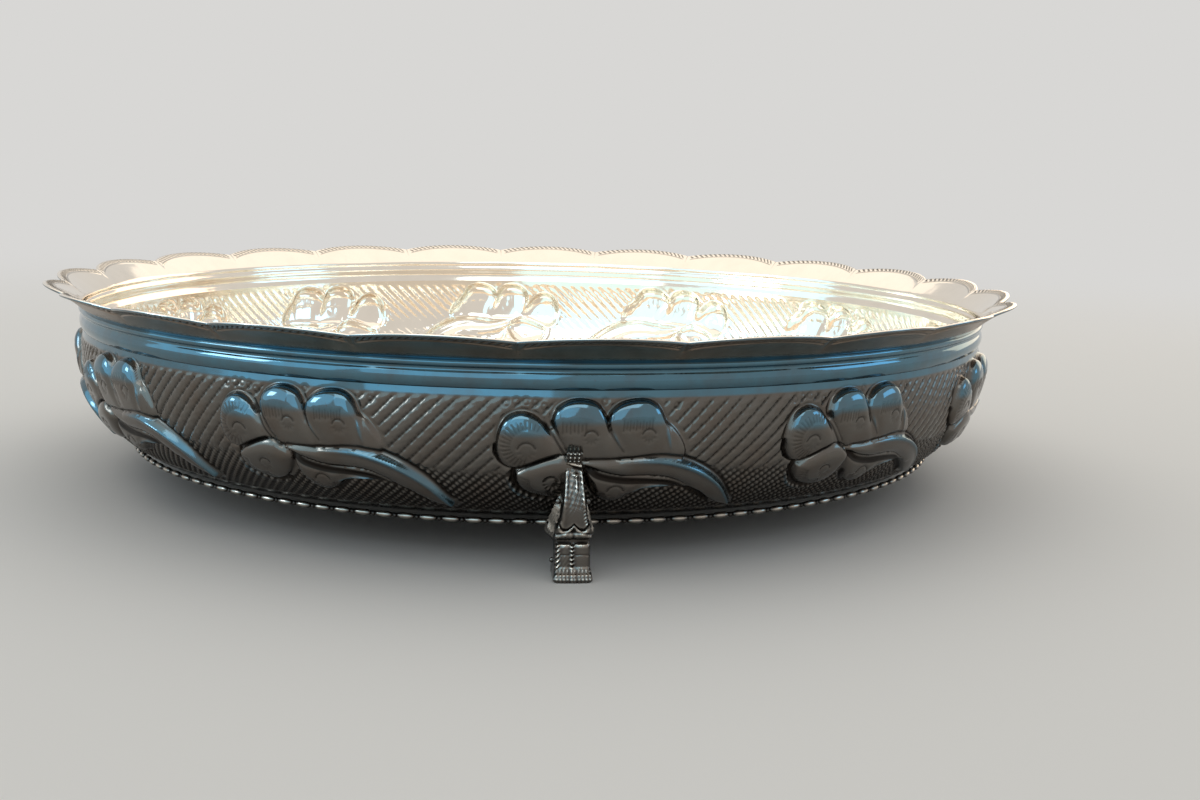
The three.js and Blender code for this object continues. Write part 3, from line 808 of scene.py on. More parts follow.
def rim_shape(first, last, work):
    """The shape of the rim from one scallop's notch to another's, wrapped over its edge."""
    def shape(across, along):
        angle = RIM_PHASE + 2 * np.pi / SCALLOPS * (first + (last - first) * across[0])
        radius, height, reached, length, turn = rim_base(angle)
        step_r = np.gradient(radius, axis=0)
        step_h = np.gradient(height, axis=0)
        size = np.hypot(step_r, step_h)
        out, up = step_h / size, -step_r / size
        depth = rim_chasing(reached, length, turn, work)
        soft_out, soft_up = blur(out, 3.5, 0), blur(up, 3.5, 0)
        soft = np.hypot(soft_out, soft_up)
        outer_r, outer_h = radius - depth * out, height - depth * up
        inner_r = blur(radius, 2.2, 0) - SHEET * soft_out / soft - depth * out
        inner_h = height - SHEET * soft_up / soft - depth * up
        inner_r[0] = radius[0] - SHEET
        inner_h[0] = height[0]
        inner_r[-1], inner_h[-1] = radius[-1] - SHEET * out[-1], height[-1] - SHEET * up[-1]
        middle_r, middle_h = radius[-1] - SHEET / 2 * out[-1], height[-1] - SHEET / 2 * up[-1]
        edge_r, edge_h = [], []
        for turned in np.radians(EDGE_TURNS):
            side, ahead = SHEET / 2 * math.cos(turned), SHEET / 2 * math.sin(turned)
            edge_r.append(middle_r + side * out[-1] - ahead * up[-1])
            edge_h.append(middle_h + side * up[-1] + ahead * out[-1])
        all_r = np.vstack([outer_r, edge_r, inner_r[INNER_ROWS]])
        all_h = np.vstack([outer_h, edge_h, inner_h[INNER_ROWS]])
        plain_edge = np.zeros((len(EDGE_TURNS), angle.size))
        spread = np.vstack([depth, plain_edge, depth[INNER_ROWS]])
        # The crease over the wall's top holds tarnish
        crease_dirt = np.exp(-np.minimum(np.arange(len(all_r)), 40)[:, None] / 1.2) * 0.3
        points = round_points(angle[None, :], all_r, all_h)
        # The neck takes the full polish and so the worn colour with its painted blue reflection; the round
        # edge and all that faces in take 0.8, which gives the flange's edge a painted highlight
        bright = np.full((len(EDGE_TURNS) + len(INNER_ROWS), angle.size), 0.8)
        polish_and_highlight = np.vstack([1 - smoothstep(0, 0.15, reached), bright])
        return points, spread * 1.1 + crease_dirt, polish_and_highlight
    return shape


def wall_shape(number, work, inner):
    """The shape of one panel of the wall, from the floor up to the crease."""
    length, radius, height, out, up = sheet_line()
    lowest, highest = length[-1], length[0]

    def shape(across, along):
        angle = 2 * np.pi / MOTIFS * (number + across)
        share = np.interp(along, (0, 0.05, 1), (lowest, WALL_DROP + 1.5, highest))
        relief, depth, worn_and_highlit = wall_relief(angle * MOTIFS * PANEL_WIDTH / (2 * np.pi), share, work)
        recess_and_shade = recess_and_shade_of(relief, depth, 2.6)
        # Lines that cross the grid at a slant would else come out stepped
        relief, recess_and_shade = soften(relief, 0.55), soften(recess_and_shade, 0.55)
        base_r, base_h = np.interp(share, length, radius), np.interp(share, length, height)
        base_out, base_up = np.interp(share, length, out), np.interp(share, length, up)
        if inner:
            relief = soften(relief, 0.6) - SHEET
            recess_and_shade = -0.6 * recess_and_shade
            top = along[:, :1] == 1
            base_h = np.where(top, CREASE_HEIGHT, base_h)
            base_up = np.where(top, 0, base_up)
            base_out = np.where(top, 1, base_out)
        points = round_points(angle, base_r + relief * base_out, base_h + relief * base_up)
        # The worn petal tops and the fillet at the wall's top take the worn colour, which is wear with a
        # painted highlight and reflection
        polish_and_highlight = np.maximum(0.85 * worn_and_highlit, smoothstep(0.3, -0.3, share))
        return points, recess_and_shade, polish_and_highlight
    return shape


def wire_seat():
    """Radius and height of the base wire's middle, its gap away from the wall."""
    length, radius, height, out, up = sheet_line()
    down = WIRE_SEAT * WALL_DROP
    away = WIRE_RADIUS + SEAT_GAP
    seat_r, seat_h = np.interp(down, length, radius), np.interp(down, length, height)
    seat_out, seat_up = np.interp(down, length, out), np.interp(down, length, up)
    return seat_r + away * seat_out, seat_h + away * seat_up


def leg_outline(node):
    """The leg's front, back and half-width by height, in millimetres, read from its CAD node at the front."""
    points = np.array([v.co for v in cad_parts[node].data.vertices]) / MM
    levels = np.unique(np.round(points[:, 2], 2))
    rows = []
    for level in levels:
        at = points[np.abs(points[:, 2] - level) < 0.02]
        rows.append((level, -at[:, 1].min(), -at[:, 1].max(), np.abs(at[:, 0]).max()))
    return np.array(rows).T


def bumps(x, z, pitch_x, pitch_z):
    """Rows of round grains."""
    return np.clip(np.cos(2 * np.pi * x / pitch_x) * 0.5 + np.cos(2 * np.pi * z / pitch_z) * 0.5, 0, 1)


def leg_front_detail(x, z, half):
    """How far the cast ornament stands out of the leg's front."""
    share = x / np.maximum(half, 0.1)
    half_share = np.clip(np.abs(share), 0, 1)
    tab = smoothstep(28.6, 29.0, z)
    strip = smoothstep(12.6, 13.6, z) * (1 - smoothstep(26.4, 27.0, z))
    bright = smoothstep(17.0, 20.0, z)
    knee = smoothstep(9.9, 10.8, z) * (1 - smoothstep(13.0, 13.6, z))
    lower = smoothstep(2.6, 3.4, z) * (1 - smoothstep(8.9, 9.4, z))
    toes = 1 - smoothstep(2.6, 3.6, z)
    # Tab of round grains over a slanting collar
    detail = tab * 0.5 * bumps(x, z - 0.2, 1.0, 1.1)
    detail += 0.5 * bell(z - 28.0 + 0.22 * x, 0.4) - 0.3 * bell(z - 27.2 + 0.22 * x, 0.35)
    # Three ridges down the strip, the middle one from a bulb
    ridge = bell(share + 0.8, 0.17) + bell(share - 0.84, 0.15)
    middle = bell(share - 0.22, 0.13) * smoothstep(20.5, 23.0, z) * (1 - smoothstep(25.6, 26.0, z))
    bulb = bell(np.hypot(x - 0.45, z - 25.6), 0.55)
    detail += strip * (0.5 * ridge * (0.4 + 0.6 * bright) + 0.5 * middle + 0.55 * bulb)
    detail += strip * 0.09 * np.sin(3.3 * x + 1.9 * z) * np.sin(3.1 * z - 2.1 * x) * bright
    rope = 0.5 + 0.5 * np.cos(2 * np.pi * (z - 0.8 * x) / 0.95)
    detail -= strip * 0.34 * rope * bell(share - 0.9, 0.16) * (1 - smoothstep(17.0, 19.0, z))
    # Two lids side by side over the knee, with two soft folds under them
    lid = 14.3 - 1.5 * np.sin(np.pi * half_share) ** 1.2
    detail += 0.42 * bell(z - lid + 0.85, 0.55) * np.sin(np.pi * half_share) - 0.5 * bell(z - lid, 0.26)
    fold = 0.2 * bell(z - 11.6 + 0.5 * half_share, 0.6)
    detail += knee * (fold - 0.25 * bell(z - 12.3 + 0.6 * half_share, 0.25))
    detail -= knee * 0.3 * bell(share, 0.1)
    # Lower leg: two lobes, a beaded line between them, a rope on the left edge and a wavy line
    lobes = np.abs(np.sin(np.pi * share)) ** 0.7
    beads = 0.5 + 0.5 * np.cos(2 * np.pi * z / 1.05)
    rope_left = bell(share + 0.9, 0.14) * (0.5 + 0.5 * np.cos(2 * np.pi * (z - 0.7 * x) / 1.25))
    wave = bell(z - 6.2 - 0.35 * np.sin(np.pi * half_share), 0.2)
    detail += lower * (0.75 * lobes + 0.7 * bell(share + 0.04, 0.1) * beads + 0.7 * rope_left - 0.14 * wave)
    # Toes with a grained skin
    skin = 0.22 * bumps(x + 0.3, z, 0.9, 0.9)
    detail += toes * (0.4 * np.abs(np.sin(np.pi * share)) ** 0.6 + skin + 0.4 * bell(share, 0.12))
    return detail


def leg_flank_detail(depth, z):
    """Flutes of the leaf on a leg's flank, which hangs over the knee."""
    leaf = smoothstep(9.2, 10.2, z) * (1 - smoothstep(18.5, 21.5, z))
    flow = depth + 0.16 * (z - 12) + 0.25 * np.sin(0.9 * z)
    return leaf * (0.5 * np.cos(2 * np.pi * flow / 1.7) + 0.3 * bell(z - 9.9, 0.8))


def leg_shape(node, number, work):
    """The shape of a leg at the front: level sections with a strip in front and leaves set back beside it.

    Its back follows the chased wall at the leg's own place, and ends within the sheet.
    """
    level, front, back, wing = leg_outline(node)
    top = level[-1]
    reach = -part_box(node)[0].y / MM
    length, wall_radius, wall_height, _, _ = sheet_line()
    wall = slice(0, len(length) - FLAT_POINTS)

    def shape(across, along):
        z = along[:, :1] * top
        f, b, g = (np.interp(z, level, v) for v in (front, back, wing))
        round_from, round_to, round_back = TAB_ROUNDING
        f = blur(f, 1.2, 0) - LEG_DETAIL_ROOM - round_back * smoothstep(round_from, round_to, z) ** 1.5
        half = np.minimum(np.interp(z, *zip(*LEG_STRIP)), g)
        g = blur(g, 1.0, 0)
        sheet = np.interp(z, wall_height[wall][::-1], wall_radius[wall][::-1])
        seat_r, seat_h = wire_seat()
        b = np.minimum(np.where(z > seat_h + WIRE_RADIUS, np.minimum(b, sheet), b), f - 0.8)
        setback = np.minimum(LEG_WING_SETBACK, (f - b) * 0.62)
        turn = np.abs(across - 0.5) * 2
        side = np.sign(across - 0.5)
        knots = (0.0, 0.36, 0.44, 0.56, 0.68, 0.76, 0.93, 1.0)
        xs = (0 * g, half * 0.9, half, half * 0.7 + g * 0.3, g * 0.97, g, g * 0.94, 0 * g)
        ys = (f, f - 0.12, f - 0.6, f - setback * 0.62, f - setback * 0.9, f - setback * 1.1, b + 0.15, b)
        x = sum_knots(turn, knots, xs)
        y = sum_knots(turn, knots, ys)
        on_front = 1 - smoothstep(0.4, 0.46, turn)
        on_flank = smoothstep(0.46, 0.54, turn) * (1 - smoothstep(0.86, 0.93, turn))
        front_detail = leg_front_detail(x * side, z + 0 * x, half + 0 * x)
        flank_detail = leg_flank_detail(f - y, z + 0 * x)
        rough = 0.05 * np.sin(9.1 * x * side + 3.3 * z) * np.sin(7.7 * z - 2.9 * x)
        y_out = np.minimum(y + on_front * front_detail + rough, reach)
        place = (number / len(LEGS) + np.arctan2(x * side, y) / (2 * np.pi)) * MOTIFS * PANEL_WIDTH
        drop = np.interp(z, wall_height[wall][::-1], length[wall][::-1]) + 0 * x
        within = sheet + wall_relief(place, drop, work)[0] - LEG_BACK_IN_SHEET
        y_out = np.where(z > seat_h + WIRE_RADIUS, np.maximum(y_out, within), y_out)
        x_out = x + on_flank * flank_detail
        detail = on_front * front_detail + on_flank * flank_detail
        around = soften(detail, 3)
        recess_and_shade = np.clip((around - detail) * 1.3, -0.4, 0.5) + 0.1
        ends = smoothstep(0, 0.4, z) * 0.06 + 0.94
        # Raised casting takes the bright colour, as wear with a painted highlight, and the flanks are held
        # darker as painted shade
        polish_and_highlight = smoothstep(0.1, 0.5, detail - around + 0.12) * (1 - 0.6 * on_flank)
        return np.stack([x_out * side * ends, -y_out, z + 0 * x], -1) * MM, recess_and_shade, polish_and_highlight
    return shape


def sum_knots(turn, knots, values):
    """Values between knots, row by row, where each knot's value is a column of heights."""
    total = np.zeros(np.broadcast_shapes(turn.shape, values[0].shape))
    for a, b, va, vb in zip(knots, knots[1:], values, values[1:]):
        share = np.clip((turn - a) / (b - a), 0, 1)
        within = (turn >= a) & (turn <= b) if b == knots[-1] else (turn >= a) & (turn < b)
        total += np.where(within, va + (vb - va) * share, 0)
    return total


def node_in(tree, kind, inputs=(), **settings):
    """Adds one shader node with its settings, and links or sets its inputs."""
    made = tree.nodes.new(kind)
    for name, value in settings.items():
        setattr(made, name, value)
    for key, value in dict(inputs).items():
        if isinstance(value, bpy.types.NodeSocket):
            tree.links.new(value, made.inputs[key])
        else:
            made.inputs[key].default_value = value
    return made


def emptied_tree(holder):
    """The node tree of a material or a world, with nothing in it."""
    holder.use_nodes = True
    holder.node_tree.nodes.clear()
    return holder.node_tree


def silver(name, toned, polished, film, tarnish, roughness, polished_roughness, film_share, waviness):
    """Sterling silver, raised or cast by hand.

    What the cloth reaches is polished and its colour carries a painted highlight and reflection, the rest is
    toned by a thin brown film and painted darker as shade, and black-brown sulphide stays in the recesses,
    with painted shade added to it in places. roughness is that of the toned film, and polished_roughness that
    of the worn tops.
    film_share is how much of the surface has a brown film, and waviness how uneven the hammer left it.
    """
    material = bpy.data.materials.new(name)
    tree = emptied_tree(material)
    place = node_in(tree, "ShaderNodeTexCoord").outputs["Object"]
    recess_and_shade = node_in(tree, "ShaderNodeAttribute", attribute_name="recess_and_shade").outputs["Fac"]
    polish_and_highlight = node_in(tree, "ShaderNodeAttribute", attribute_name="polish_and_highlight").outputs["Fac"]
    # Breath and handling marks, 9 mm across
    smear = node_in(tree, "ShaderNodeTexNoise", {
        "Vector": place, "Scale": 1 / (9 * MM), "Detail": 4.0, "Roughness": 0.62})
    # Specks of sulphide, 0.7 mm across
    speck = node_in(tree, "ShaderNodeTexNoise", {"Vector": place, "Scale": 1 / (0.7 * MM), "Detail": 2.0})
    # How much of the tarnish colour: sulphide in the recesses, and painted shade down the wall's foot and
    # between the grains
    deep = node_in(tree, "ShaderNodeMapRange", {
        "Value": recess_and_shade, "From Min": 0.05, "From Max": 0.4, "To Min": 0.0, "To Max": 0.93,
    }, interpolation_type="SMOOTHSTEP")
    smeared = node_in(tree, "ShaderNodeMapRange", {
        "Value": smear.outputs[0], "From Min": 0.42, "From Max": 0.7, "To Min": 0.0, "To Max": film_share})
    specked = node_in(tree, "ShaderNodeMapRange", {
        "Value": speck.outputs[0], "From Min": 0.64, "From Max": 0.76, "To Min": 0.0, "To Max": film_share})
    filmed = node_in(tree, "ShaderNodeMath", {
        0: smeared.outputs["Result"], 1: specked.outputs["Result"]}, operation="MAXIMUM")
    metal = node_in(tree, "ShaderNodeMix", {"Factor": polish_and_highlight, 6: toned, 7: polished}, data_type="RGBA")
    browned = node_in(tree, "ShaderNodeMix", {
        "Factor": filmed.outputs[0], 6: metal.outputs[2], 7: film}, data_type="RGBA")
    colour = node_in(tree, "ShaderNodeMix", {
        "Factor": deep.outputs["Result"], 6: browned.outputs[2], 7: tarnish}, data_type="RGBA")
    matt = node_in(tree, "ShaderNodeMapRange", {
        "Value": polish_and_highlight, "From Min": 0.0, "From Max": 1.0, "To Min": roughness, "To Max": polished_roughness})
    # Tarnish in the recesses is rougher than the metal
    rough = node_in(tree, "ShaderNodeMath", {
        0: deep.outputs["Result"], 1: 0.3, 2: matt.outputs["Result"]}, operation="MULTIPLY_ADD")
    # Hammer facets left by planishing, 7 mm across, which break up the reflections, and polishing marks that
    # soften them. The marks are drawn about 0.25 mm apart, which is coarser than real ones.
    facets = node_in(tree, "ShaderNodeTexNoise", {"Vector": place, "Scale": 1 / (7 * MM), "Detail": 1.0})
    lines = node_in(tree, "ShaderNodeTexNoise", {"Vector": place, "Scale": 1 / (0.25 * MM), "Detail": 3.0})
    wavy = node_in(tree, "ShaderNodeBump", {
        "Height": facets.outputs["Fac"], "Strength": waviness, "Distance": 0.25 * MM})
    bump = node_in(tree, "ShaderNodeBump", {
        "Height": lines.outputs["Fac"], "Strength": 0.12, "Distance": 0.006 * MM,
        "Normal": wavy.outputs["Normal"]})
    shader = node_in(tree, "ShaderNodeBsdfPrincipled", {
        "Base Color": colour.outputs[2], "Metallic": 1.0, "Roughness": rough.outputs[0],
        "Normal": bump.outputs["Normal"]})
    node_in(tree, "ShaderNodeOutputMaterial", {"Surface": shader.outputs["BSDF"]})
    return material


def finish_of(kind):
    """The silver of the outside, the flange, the inside or the castings, made once."""
    found = bpy.data.materials.get(kind)
    if found:
        return found
    colours = bpy.context.scene.dish_finish
    toned, polished, *work = {
        # Dim grey bodies painted dark as shade, with painted cool glints and reflection on the worn petal
        # tops, the ridges and the neck
        "toned_raised_silver_with_painted_shade": (colours.toned_silver_with_painted_shade, colours.worn_silver_with_painted_reflection, 0.19, 0.08, 0.3, 0.3),
        # A warm and even painted shade on the face-down underside, with no sharp reflection
        "brushed_flange_silver_with_painted_shade": (colours.flange_silver_with_painted_shade, colours.worn_silver_with_painted_reflection, 0.3, 0.12, 0.35, 0.3),
        # A near-white mirror that shows the dents of the relief
        "bright_polished_silver": (colours.bright_silver, colours.bright_silver, 0.1, 0.1, 0.05, 0.3),
        # Dark flutes, painted darker as shade, between beads and ridges that catch the light, painted bright
        # as a highlight with wear
        "toned_cast_silver_with_painted_shade": (colours.cast_silver, colours.bright_silver, 0.17, 0.1, 0.25, 0.2),
    }[kind]
    return silver(kind, tuple(toned), tuple(polished), tuple(colours.film), tuple(colours.tarnish), *work)


def sheet_finish():
    """The silver of the sheet's outside and inside."""
    return [finish_of(kind) for kind in ("toned_raised_silver_with_painted_shade", "bright_polished_silver")]


class DISH_OT_rim(bpy.types.Operator):
    """Adds the neck and the scalloped flange, in lengths that meet at notches"""

    bl_idname = "dish.rim"
    bl_label = "Rim and neck"

    def execute(self, context):
        work = context.scene.dish_work
        rows = OUTER_ROWS + len(EDGE_TURNS) + len(INNER_ROWS)
        for number, (first, last) in enumerate(zip(RIM_LENGTHS, RIM_LENGTHS[1:]), 1):
            columns = SCALLOP_COLUMNS * (last - first)
            piece = shaped_grid(f"rim_{number}", columns, rows - 1, rim_shape(first, last, work))
            end_rows = np.zeros((rows, columns + 1), bool)
            end_rows[[0, -1]] = True
            thickness_closed(piece, end_rows.ravel())
            # The neck and the flange's underside take toned and brushed silver with painted shade, and all
            # that faces in is bright
            by_row = np.zeros((rows - 1, columns), np.int32)
            by_row[NECK_ROWS + 1:OUTER_ROWS + 1] = 2
            by_row[OUTER_ROWS + 1:] = 1
            slots = np.zeros(len(piece.data.polygons), np.int32)
            slots[:by_row.size] = by_row.ravel()
            finishes = [*sheet_finish(), finish_of("brushed_flange_silver_with_painted_shade")]
            finished(piece, finishes, ("dish",))
            piece.data.polygons.foreach_set("material_index", slots)
        return {"FINISHED"}


class DISH_OT_wall(bpy.types.Operator):
    """Adds the chased wall, one motif to a piece, with the work in reverse on its inside"""

    bl_idname = "dish.wall"
    bl_label = "Chased wall"

    def execute(self, context):
        work = context.scene.dish_work
        for number in range(MOTIFS):
            name = f"wall_{number + 1}"
            outer = shaped_grid(name, *OUTSIDE_GRID, wall_shape(number, work, False), False, (0.0, 0.6))
            inner = shaped_grid("inside", *INSIDE_GRID, wall_shape(number, work, True), True, (0.6, 1.0))
            faces = len(outer.data.polygons)
            inside_faces = len(inner.data.polygons)
            piece = joined([outer, inner], name)
            edges_closed(piece)
            slots = np.zeros(len(piece.data.polygons), np.int32)
            slots[faces:faces + inside_faces] = 1
            finished(piece, sheet_finish(), ("dish",))
            piece.data.polygons.foreach_set("material_index", slots)
        return {"FINISHED"}


class DISH_OT_floor(bpy.types.Operator):
    """Adds the flat floor inside the wall"""

    bl_idname = "dish.floor"
    bl_label = "Floor"

    def execute(self, context):
        clean_start()
        middle = (FLOOR_HEIGHT + SHEET / 2) * MM
        bpy.ops.mesh.primitive_cylinder_add(
            vertices=136 * MOTIFS, radius=FLOOR_RADIUS * MM, depth=SHEET * MM, location=(0, 0, middle))
        piece = bpy.context.object
        piece.name = "floor"
        into_edit("FACE")
        bpy.ops.object.mode_set(mode="OBJECT")
        for face in piece.data.polygons:
            face.select = abs(face.normal.z) > 0.5
        bpy.ops.object.mode_set(mode="EDIT")
        # Rings inwards from the floor's edge, in metres
        for width in (0.022, 0.03, 0.03, 0.02):
            bpy.ops.mesh.inset(thickness=width, depth=0)
        bpy.ops.object.mode_set(mode="OBJECT")
        bpy.ops.object.transform_apply(location=True, rotation=True, scale=True)
        finished(piece, sheet_finish(), ("dish",))
        for face in piece.data.polygons:
            face.material_index = 1 if face.normal.z > 0.5 else 0
        return {"FINISHED"}


def repeated_round(piece, count, radius, height, phase=0.0):
    """Copies a small piece that was made at the origin, along X, round the dish, as one mesh."""
    mesh = piece.data
    points = points_of(mesh)
    faces = [tuple(face.vertices) for face in mesh.polygons]
    all_points, all_faces = [], []
    for i in range(count):
        turn = Matrix.Rotation((i + phase) / count * 2 * math.pi, 3, "Z")
        all_faces += [tuple(v + len(points) * i for v in face) for face in faces]
        all_points.append((points + (0, -radius * MM, height * MM)) @ np.array(turn).T)
    made = bpy.data.meshes.new(piece.name)
    made.from_pydata(np.vstack(all_points), [], all_faces)
    piece.data = made
    bpy.data.meshes.remove(mesh)


class DISH_OT_wire(bpy.types.Operator):
    """Adds the bead and bar wire round the foot"""

    bl_idname = "dish.wire"
    bl_label = "Base wire"

    def execute(self, context):
        radius, height = wire_seat()
        pitch = 2 * math.pi * radius / WIRE_BARS
        clean_start()
        bpy.ops.mesh.primitive_torus_add(
            major_segments=WIRE_BARS * 2, minor_segments=8, major_radius=(radius - WIRE_CORE_INSET) * MM,
            minor_radius=WIRE_CORE_RADIUS * MM, location=(0, 0, height * MM))
        core = bpy.context.object
        bpy.ops.object.transform_apply(location=True, rotation=True, scale=True)
        clean_start()
        bpy.ops.mesh.primitive_uv_sphere_add(segments=12, ring_count=10, radius=1)
        bar = bpy.context.object
        points = points_of(bar.data)
        half_bar = (pitch - BEAD_ROOM) / 2
        lengthways = np.sign(points[:, 2]) * (1 - (1 - np.abs(points[:, 2])) ** 1.3)
        girth = np.hypot(points[:, 0], points[:, 1])
        full = np.where(girth > 0, girth**0.8 / np.maximum(girth, 1e-6), 0)
        deep, tall = points[:, 0] * full * 0.92, points[:, 1] * full * 0.8
        shaped = np.stack([lengthways * half_bar, deep, tall], 1) * MM
        bar.data.vertices.foreach_set("co", shaped.ravel())
        repeated_round(bar, WIRE_BARS, radius, height)
        clean_start()
        bpy.ops.mesh.primitive_uv_sphere_add(segments=8, ring_count=6, radius=BEAD_RADIUS * MM)
        bead = bpy.context.object
        bead.data.transform(Matrix.Rotation(math.pi / 2, 4, "Y"))
        repeated_round(bead, WIRE_BARS, radius - 0.05, height - 0.1, 0.5)
        piece = joined([core, bar, bead], "bead_wire")
        points = points_of(piece.data) / MM
        away = np.hypot(np.hypot(points[:, 0], points[:, 1]) - radius, points[:, 2] - height)
        # Tarnish darkens the wire towards its core, and the parts farthest out take the bright colour, as
        # wear with a painted highlight
        add_wear_and_painted_light(piece, np.clip(0.62 - 0.72 * away, -0.2, 0.5), 0.45 * smoothstep(0.7, 0.95, away))
        finished(piece, [finish_of("toned_cast_silver_with_painted_shade")], ("base_bead_wire",))
        return {"FINISHED"}


class DISH_OT_legs(bpy.types.Operator):
    """Adds the cast legs, each made at the front and turned to its place"""

    bl_idname = "dish.legs"
    bl_label = "Cast legs"

    def execute(self, context):
        work = context.scene.dish_work
        for number, node in enumerate(LEGS):
            leg = shaped_grid(f"{node}_casting", *LEG_GRID, leg_shape(LEGS[0], number, work))
            into_edit("VERT", "SELECT")
            bpy.ops.mesh.remove_doubles(threshold=0.004 * MM)
            bpy.ops.mesh.fill_holes(sides=0)
            faces_out()
            beads = []
            for x, y, z, size in LEG_BEADS:
                clean_start()
                bpy.ops.mesh.primitive_uv_sphere_add(
                    segments=20, ring_count=12, radius=size * MM, location=(x * MM, y * MM, z * MM))
                bpy.ops.object.transform_apply(location=True, rotation=True, scale=True)
                beads.append(bpy.context.object)
            piece = joined([leg, *beads], f"{node}_casting")
            piece.data.transform(Matrix.Rotation(number / len(LEGS) * 2 * math.pi, 4, "Z"))
            finished(piece, [finish_of("toned_cast_silver_with_painted_shade")], (node,))
        return {"FINISHED"}


def aimed_camera():
    """The camera where the photograph's stood, from its distance, height, turn and focal length."""
    azimuth = math.radians(CAMERA_AZIMUTH)
    pitch, roll, yaw = (math.radians(v) for v in (CAMERA_PITCH, CAMERA_ROLL, CAMERA_YAW))
    turn = Matrix.Rotation(azimuth, 3, "Z")
    ahead = Vector((-math.sin(yaw) * math.cos(pitch), math.cos(yaw) * math.cos(pitch), -math.sin(pitch)))
    level = Vector((math.cos(yaw), math.sin(yaw), 0))
    over = Vector((-math.sin(yaw) * math.sin(pitch), math.cos(yaw) * math.sin(pitch), math.cos(pitch)))
    right = level * math.cos(roll) - over * math.sin(roll)
    up = level * math.sin(roll) + over * math.cos(roll)
    axes = turn @ Matrix((right, up, -ahead)).transposed()
    camera = bpy.data.objects.new("camera", bpy.data.cameras.new("camera"))
    bpy.context.scene.collection.objects.link(camera)
    stand = turn @ Vector((0, -CAMERA_DISTANCE * MM, CAMERA_HEIGHT * MM))
    camera.matrix_world = Matrix.Translation(stand) @ axes.to_4x4()
    camera.data.sensor_width = SENSOR_WIDTH
    camera.data.lens = FOCAL_PIXELS / FRAME_WIDTH * SENSOR_WIDTH
    camera.data.clip_start = 0.01
    camera.data.clip_end = 50.0
    bpy.context.scene.camera = camera


def softbox(name, place, aim, size, strength, colour):
    """A lamp behind a square of cloth. A strength of 1 makes the cloth look white."""
    clean_start()
    bpy.ops.object.light_add(type="AREA", location=place)
    lamp = bpy.context.object
    lamp.name = name
    lamp.data.shape = "RECTANGLE"
    lamp.data.size, lamp.data.size_y = size
    lamp.data.energy = strength * math.pi * size[0] * size[1]
    lamp.data.color = colour[:3]
    lamp.visible_camera = False
    lamp.rotation_mode = "QUATERNION"
    lamp.rotation_quaternion = (Vector(aim) - Vector(place)).to_track_quat("-Z", "Y")
    return lamp


def shown_rays(tree):
    """1 for the rays that show the backdrop: those of the camera, of reflections and of transmission."""
    rays = node_in(tree, "ShaderNodeLightPath").outputs
    shown = node_in(
        tree, "ShaderNodeMath", {0: rays["Is Camera Ray"], 1: rays["Is Glossy Ray"]}, operation="MAXIMUM")
    shown = node_in(
        tree, "ShaderNodeMath", {0: shown.outputs[0], 1: rays["Is Transmission Ray"]}, operation="MAXIMUM")
    return shown.outputs[0]


def pale_paper(colours):
    """Matt paper near the dish. Far away it turns into the plain backdrop for the eye and for reflections."""
    material = bpy.data.materials.new("pale_paper")
    tree = emptied_tree(material)
    place = node_in(tree, "ShaderNodeTexCoord").outputs["Object"]
    away = node_in(tree, "ShaderNodeVectorMath", {0: place}, operation="LENGTH")
    far = node_in(tree, "ShaderNodeMapRange", {
        "Value": away.outputs["Value"], "From Min": 0.22, "From Max": 1.0}, interpolation_type="SMOOTHERSTEP")
    share = node_in(
        tree, "ShaderNodeMath", {0: shown_rays(tree), 1: far.outputs["Result"]}, operation="MULTIPLY")
    matt = node_in(tree, "ShaderNodeBsdfPrincipled", {"Base Color": tuple(colours.floor), "Roughness": 0.9})
    glow = node_in(tree, "ShaderNodeEmission", {"Color": tuple(colours.backdrop), "Strength": 1.0})
    mixed = node_in(
        tree, "ShaderNodeMixShader", {0: share.outputs[0], 1: matt.outputs[0], 2: glow.outputs[0]})
    node_in(tree, "ShaderNodeOutputMaterial", {"Surface": mixed.outputs[0]})
    return material


def studio_world(colours):
    """The plain backdrop all round, and the even light that it gives."""
    world = bpy.data.worlds.new("studio")
    tree = emptied_tree(world)
    around = node_in(tree, "ShaderNodeBackground", {"Color": linear("#eef2f5"), "Strength": 0.55})
    back = node_in(tree, "ShaderNodeBackground", {"Color": tuple(colours.backdrop), "Strength": 1.0})
    mixed = node_in(
        tree, "ShaderNodeMixShader", {0: shown_rays(tree), 1: around.outputs[0], 2: back.outputs[0]})
    node_in(tree, "ShaderNodeOutputWorld", {"Surface": mixed.outputs[0]})
    return world


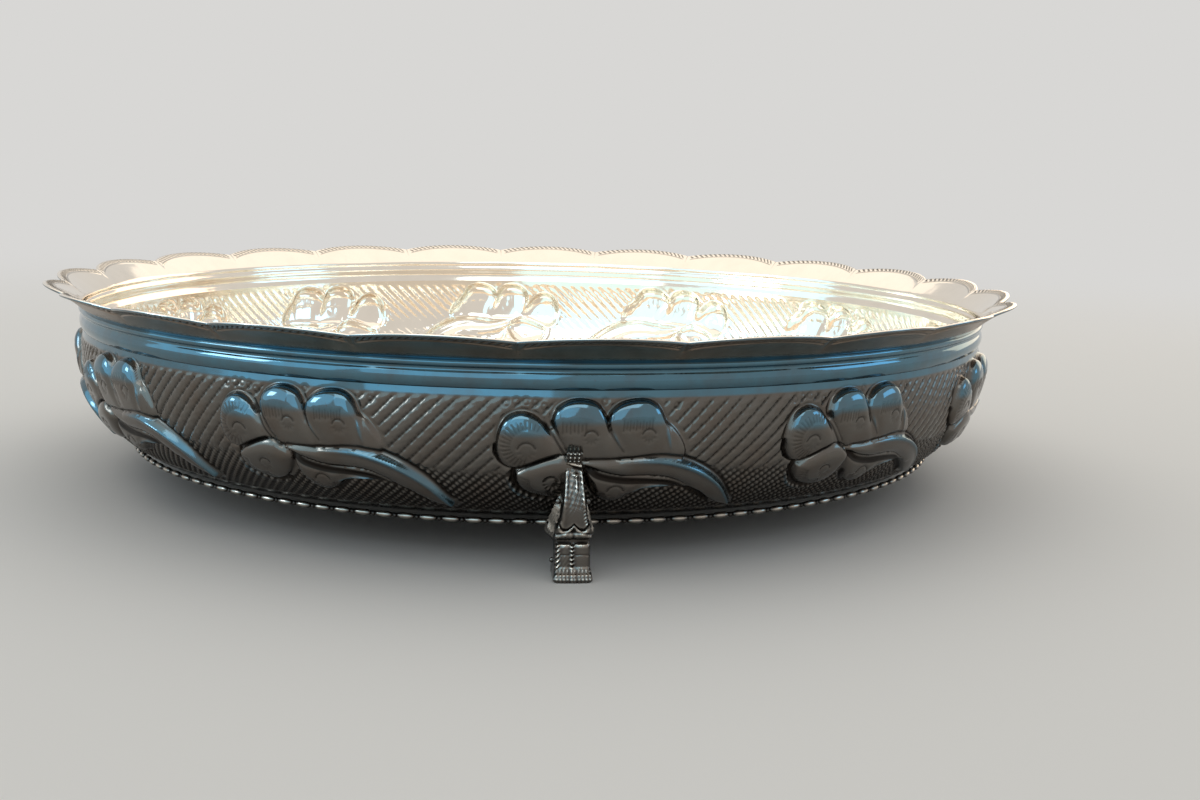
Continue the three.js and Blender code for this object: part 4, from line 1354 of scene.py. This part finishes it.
class DISH_OT_stage(bpy.types.Operator):
    """Sets up the camera, a plain pale floor that sweeps up behind, and soft studio light"""

    bl_idname = "dish.stage"
    bl_label = "Stage"

    def execute(self, context):
        scene = context.scene
        aimed_camera()
        clean_start()
        bpy.ops.mesh.primitive_circle_add(vertices=96, radius=12, fill_type="NGON")
        paper = bpy.context.object
        paper.name = "stage_floor"
        paper.data.materials.append(pale_paper(scene.dish_finish))
        scene.world = studio_world(scene.dish_finish)
        softbox("overhead_softbox", (0.0, 0.45, 1.25), (0, 0.1, 0.04), (2.6, 2.3), 0.5, linear("#fff2e0"))
        for name, place, size, strength, colour in CARDS:
            card = softbox(name, place, (0, 0, 0.04), size, strength, linear(colour))
            card.visible_diffuse = False
        scene.view_settings.view_transform = "Standard"
        return {"FINISHED"}


class DISH_PT_panel(bpy.types.Panel):
    """Lists the pieces of the dish"""

    bl_idname = "DISH_PT_panel"
    bl_label = "Silver Dish"
    bl_space_type = "VIEW_3D"
    bl_region_type = "UI"
    bl_category = "Silver Dish"

    def draw(self, context):
        column = self.layout.column(align=True)
        for operator in (DISH_OT_stage, *PIECES):
            column.operator(operator.bl_idname)
        for group in (context.scene.dish_work, context.scene.dish_finish):
            box = self.layout.box()
            for name in group.__annotations__:
                box.prop(group, name)


PIECES = (DISH_OT_rim, DISH_OT_wall, DISH_OT_floor, DISH_OT_wire, DISH_OT_legs)
CLASSES = (DishWork, DishFinish, DISH_OT_stage, *PIECES, DISH_PT_panel)


def register():
    for item in CLASSES:
        bpy.utils.register_class(item)
    bpy.types.Scene.dish_work = PointerProperty(type=DishWork)
    bpy.types.Scene.dish_finish = PointerProperty(type=DishFinish)


def unregister():
    del bpy.types.Scene.dish_finish
    del bpy.types.Scene.dish_work
    for item in reversed(CLASSES):
        bpy.utils.unregister_class(item)


def main():
    register()
    bpy.ops.dish.stage()
    bpy.ops.dish.rim()
    bpy.ops.dish.wall()
    bpy.ops.dish.floor()
    bpy.ops.dish.wire()
    bpy.ops.dish.legs()


if __name__ == "__main__":
    main()
